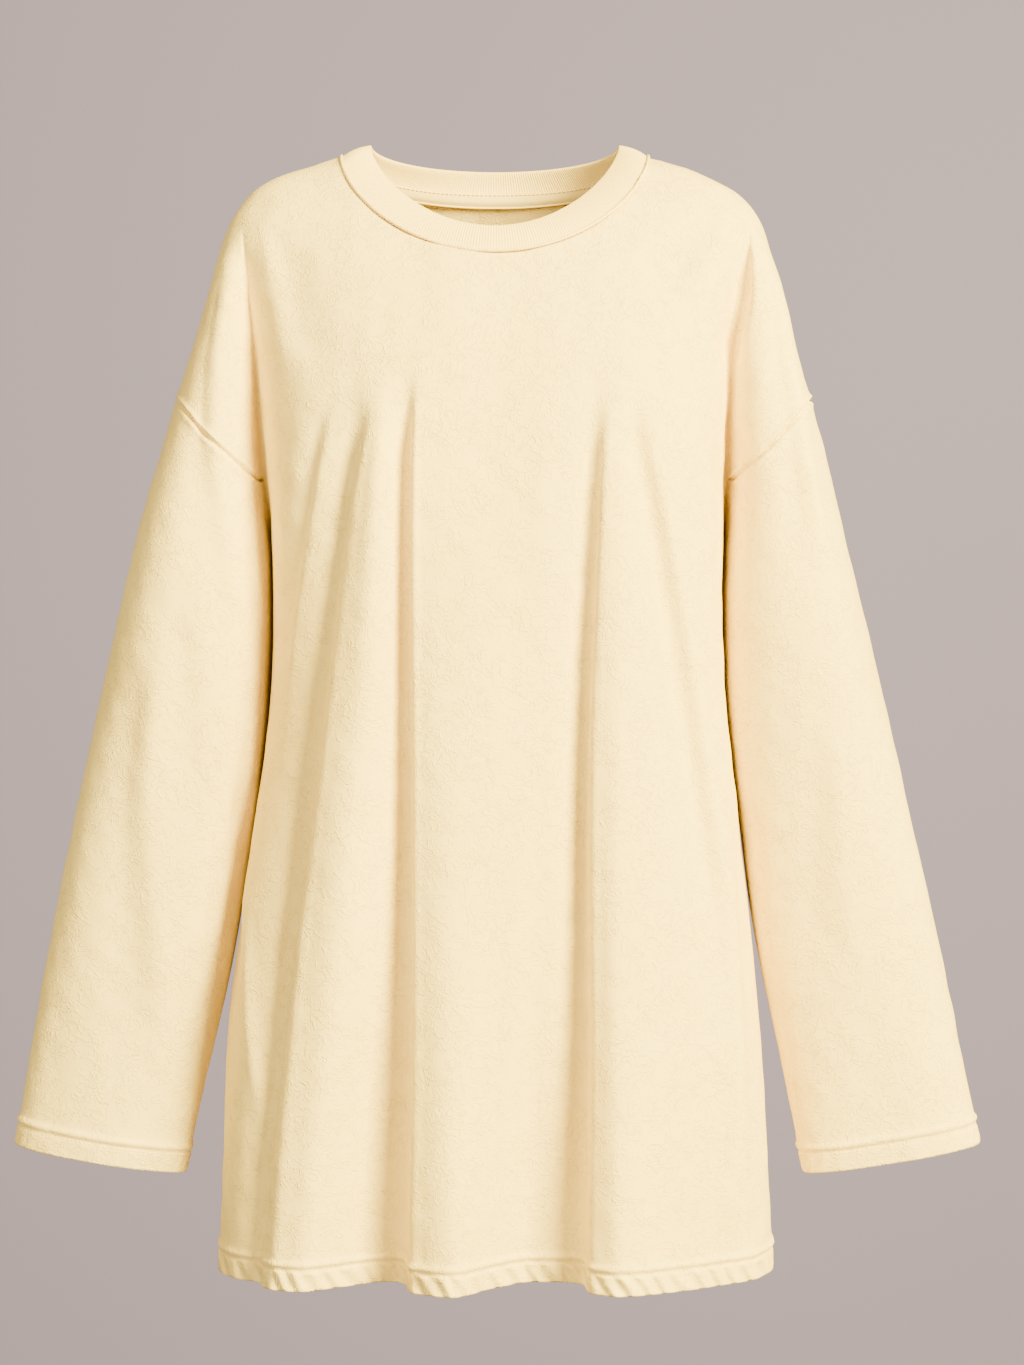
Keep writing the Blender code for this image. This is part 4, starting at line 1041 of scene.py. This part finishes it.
def addStitches(name, lines, outs, material):
    size = stitchSizes
    sides, last = size["sides"], (len(size["rings"]) - 1) * size["sides"]
    turns = 2 * np.pi * np.arange(sides) / sides
    places, faces = [], []
    for line, out in zip(lines, outs):
        reach = np.concatenate([[0], np.cumsum(np.linalg.norm(np.diff(line, axis=0), axis=1))])
        spots = np.arange(size["pitch"] / 2, reach[-1], size["pitch"])

        def between(spots, values):
            return np.stack([np.interp(spots, reach, values[:, k]) for k in range(3)], axis=1)

        centre = between(spots, line)
        ahead = unit(between(spots + size["ahead"], line) - centre)
        up = between(spots, out)
        for c, a, u, w in zip(centre, ahead, up, np.cross(ahead, up)):
            base = len(places)
            for shift, wide in size["rings"]:
                middle = c + a * shift * size["length"] - u * size["sink"]
                places += [middle + (u * np.sin(t) + w * np.cos(t)) * wide * size["radius"] for t in turns]
            faces += ringFaces(len(size["rings"]), sides, False, base)
            faces.append([base + s for s in range(sides)][::-1])
            faces.append([base + last + s for s in range(sides)])
    return newMesh(name, np.array(places), faces, material)


# The rows of the net that lie at a height over the hem, with their normals
def rowLines(piece, height):
    lines, outs = [], []
    for index in rows[piece]:
        level = band[index[:, 0]]
        if level.min() < height:
            row = int(np.argmin(np.abs(level - height)))
            lines.append(points[index[row]])
            outs.append(normals[index[row]])
    return lines, outs


stitches = {}
for piece in pieces:
    label = "hem_stitches_" + piece if piece in forward else piece.replace("sleeve", "cuff_stitches")
    stitches[piece] = addStitches(label, *rowLines(piece, hemRelief["stitchAt"]), hemThreadPaintedShade)
stitches["neck_tape"] = addStitches("tape_stitches", [tapeStitch], [tapeOut], tapeThreadPaintedShade)
print("stitching made")

# What each piece stands for and rides on
for name, piece in pieces.items():
    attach(piece, "root")
    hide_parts(name)
for piece, slot in ((neckSeam, "jersey"), (tapeEdge, "tape"), (tape, "tape"), (collar, "rib")):
    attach(piece, "root")
for name, piece in stitches.items():
    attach(piece, "root")
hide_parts("collar")
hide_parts("neck_tape")


# Plain studio wall and lights: the key is soft, from the camera's upper right
studio = {"wall": 2.6, "wallSides": (-4, 4, -3.2, 3), "wallColor": (0.250, 0.240, 0.80),
          "world": (1.0, 0.77, 0.34), "worldStrength": 0.36}
lightNames = ("name", "place", "target", "size", "power", "color")
lights = [dict(zip(lightNames, row)) for row in (
    ("key", (1.95, -2.15, 0.8), (0, 0, -0.38), 1.4, 880, (1.0, 0.80, 0.19)),
    ("fill", (-1.5, -2.5, 0.1), (0, 0, -0.4), 1.2, 95, (1.0, 0.80, 0.27)),
)]


def addLight(light):
    data = bpy.data.lights.new(light["name"], "AREA")
    data.shape = "DISK"
    data.size = light["size"]
    data.energy = light["power"]
    data.color = light["color"]
    lamp = bpy.data.objects.new(light["name"], data)
    lamp.location = light["place"]
    aim = Vector(light["target"]) - Vector(light["place"])
    lamp.rotation_euler = aim.to_track_quat("-Z", "Y").to_euler()
    bpy.context.scene.collection.objects.link(lamp)


def addStudio():
    left, right, bottom, top = studio["wallSides"]
    y = studio["wall"]
    corners = [(left, y, bottom), (right, y, bottom), (right, y, top), (left, y, top)]
    wall = newMaterial("studio_wall", studio["wallColor"], 1.0, 0.0)[0]
    newMesh("studio_backdrop", corners, [[0, 1, 2, 3]], wall)
    world = bpy.data.worlds.new("studio_world")
    world.use_nodes = True
    world.node_tree.nodes["Background"].inputs["Color"].default_value = (*studio["world"], 1)
    world.node_tree.nodes["Background"].inputs["Strength"].default_value = studio["worldStrength"]
    bpy.context.scene.world = world
    for light in lights:
        addLight(light)


addStudio()
print("studio made")
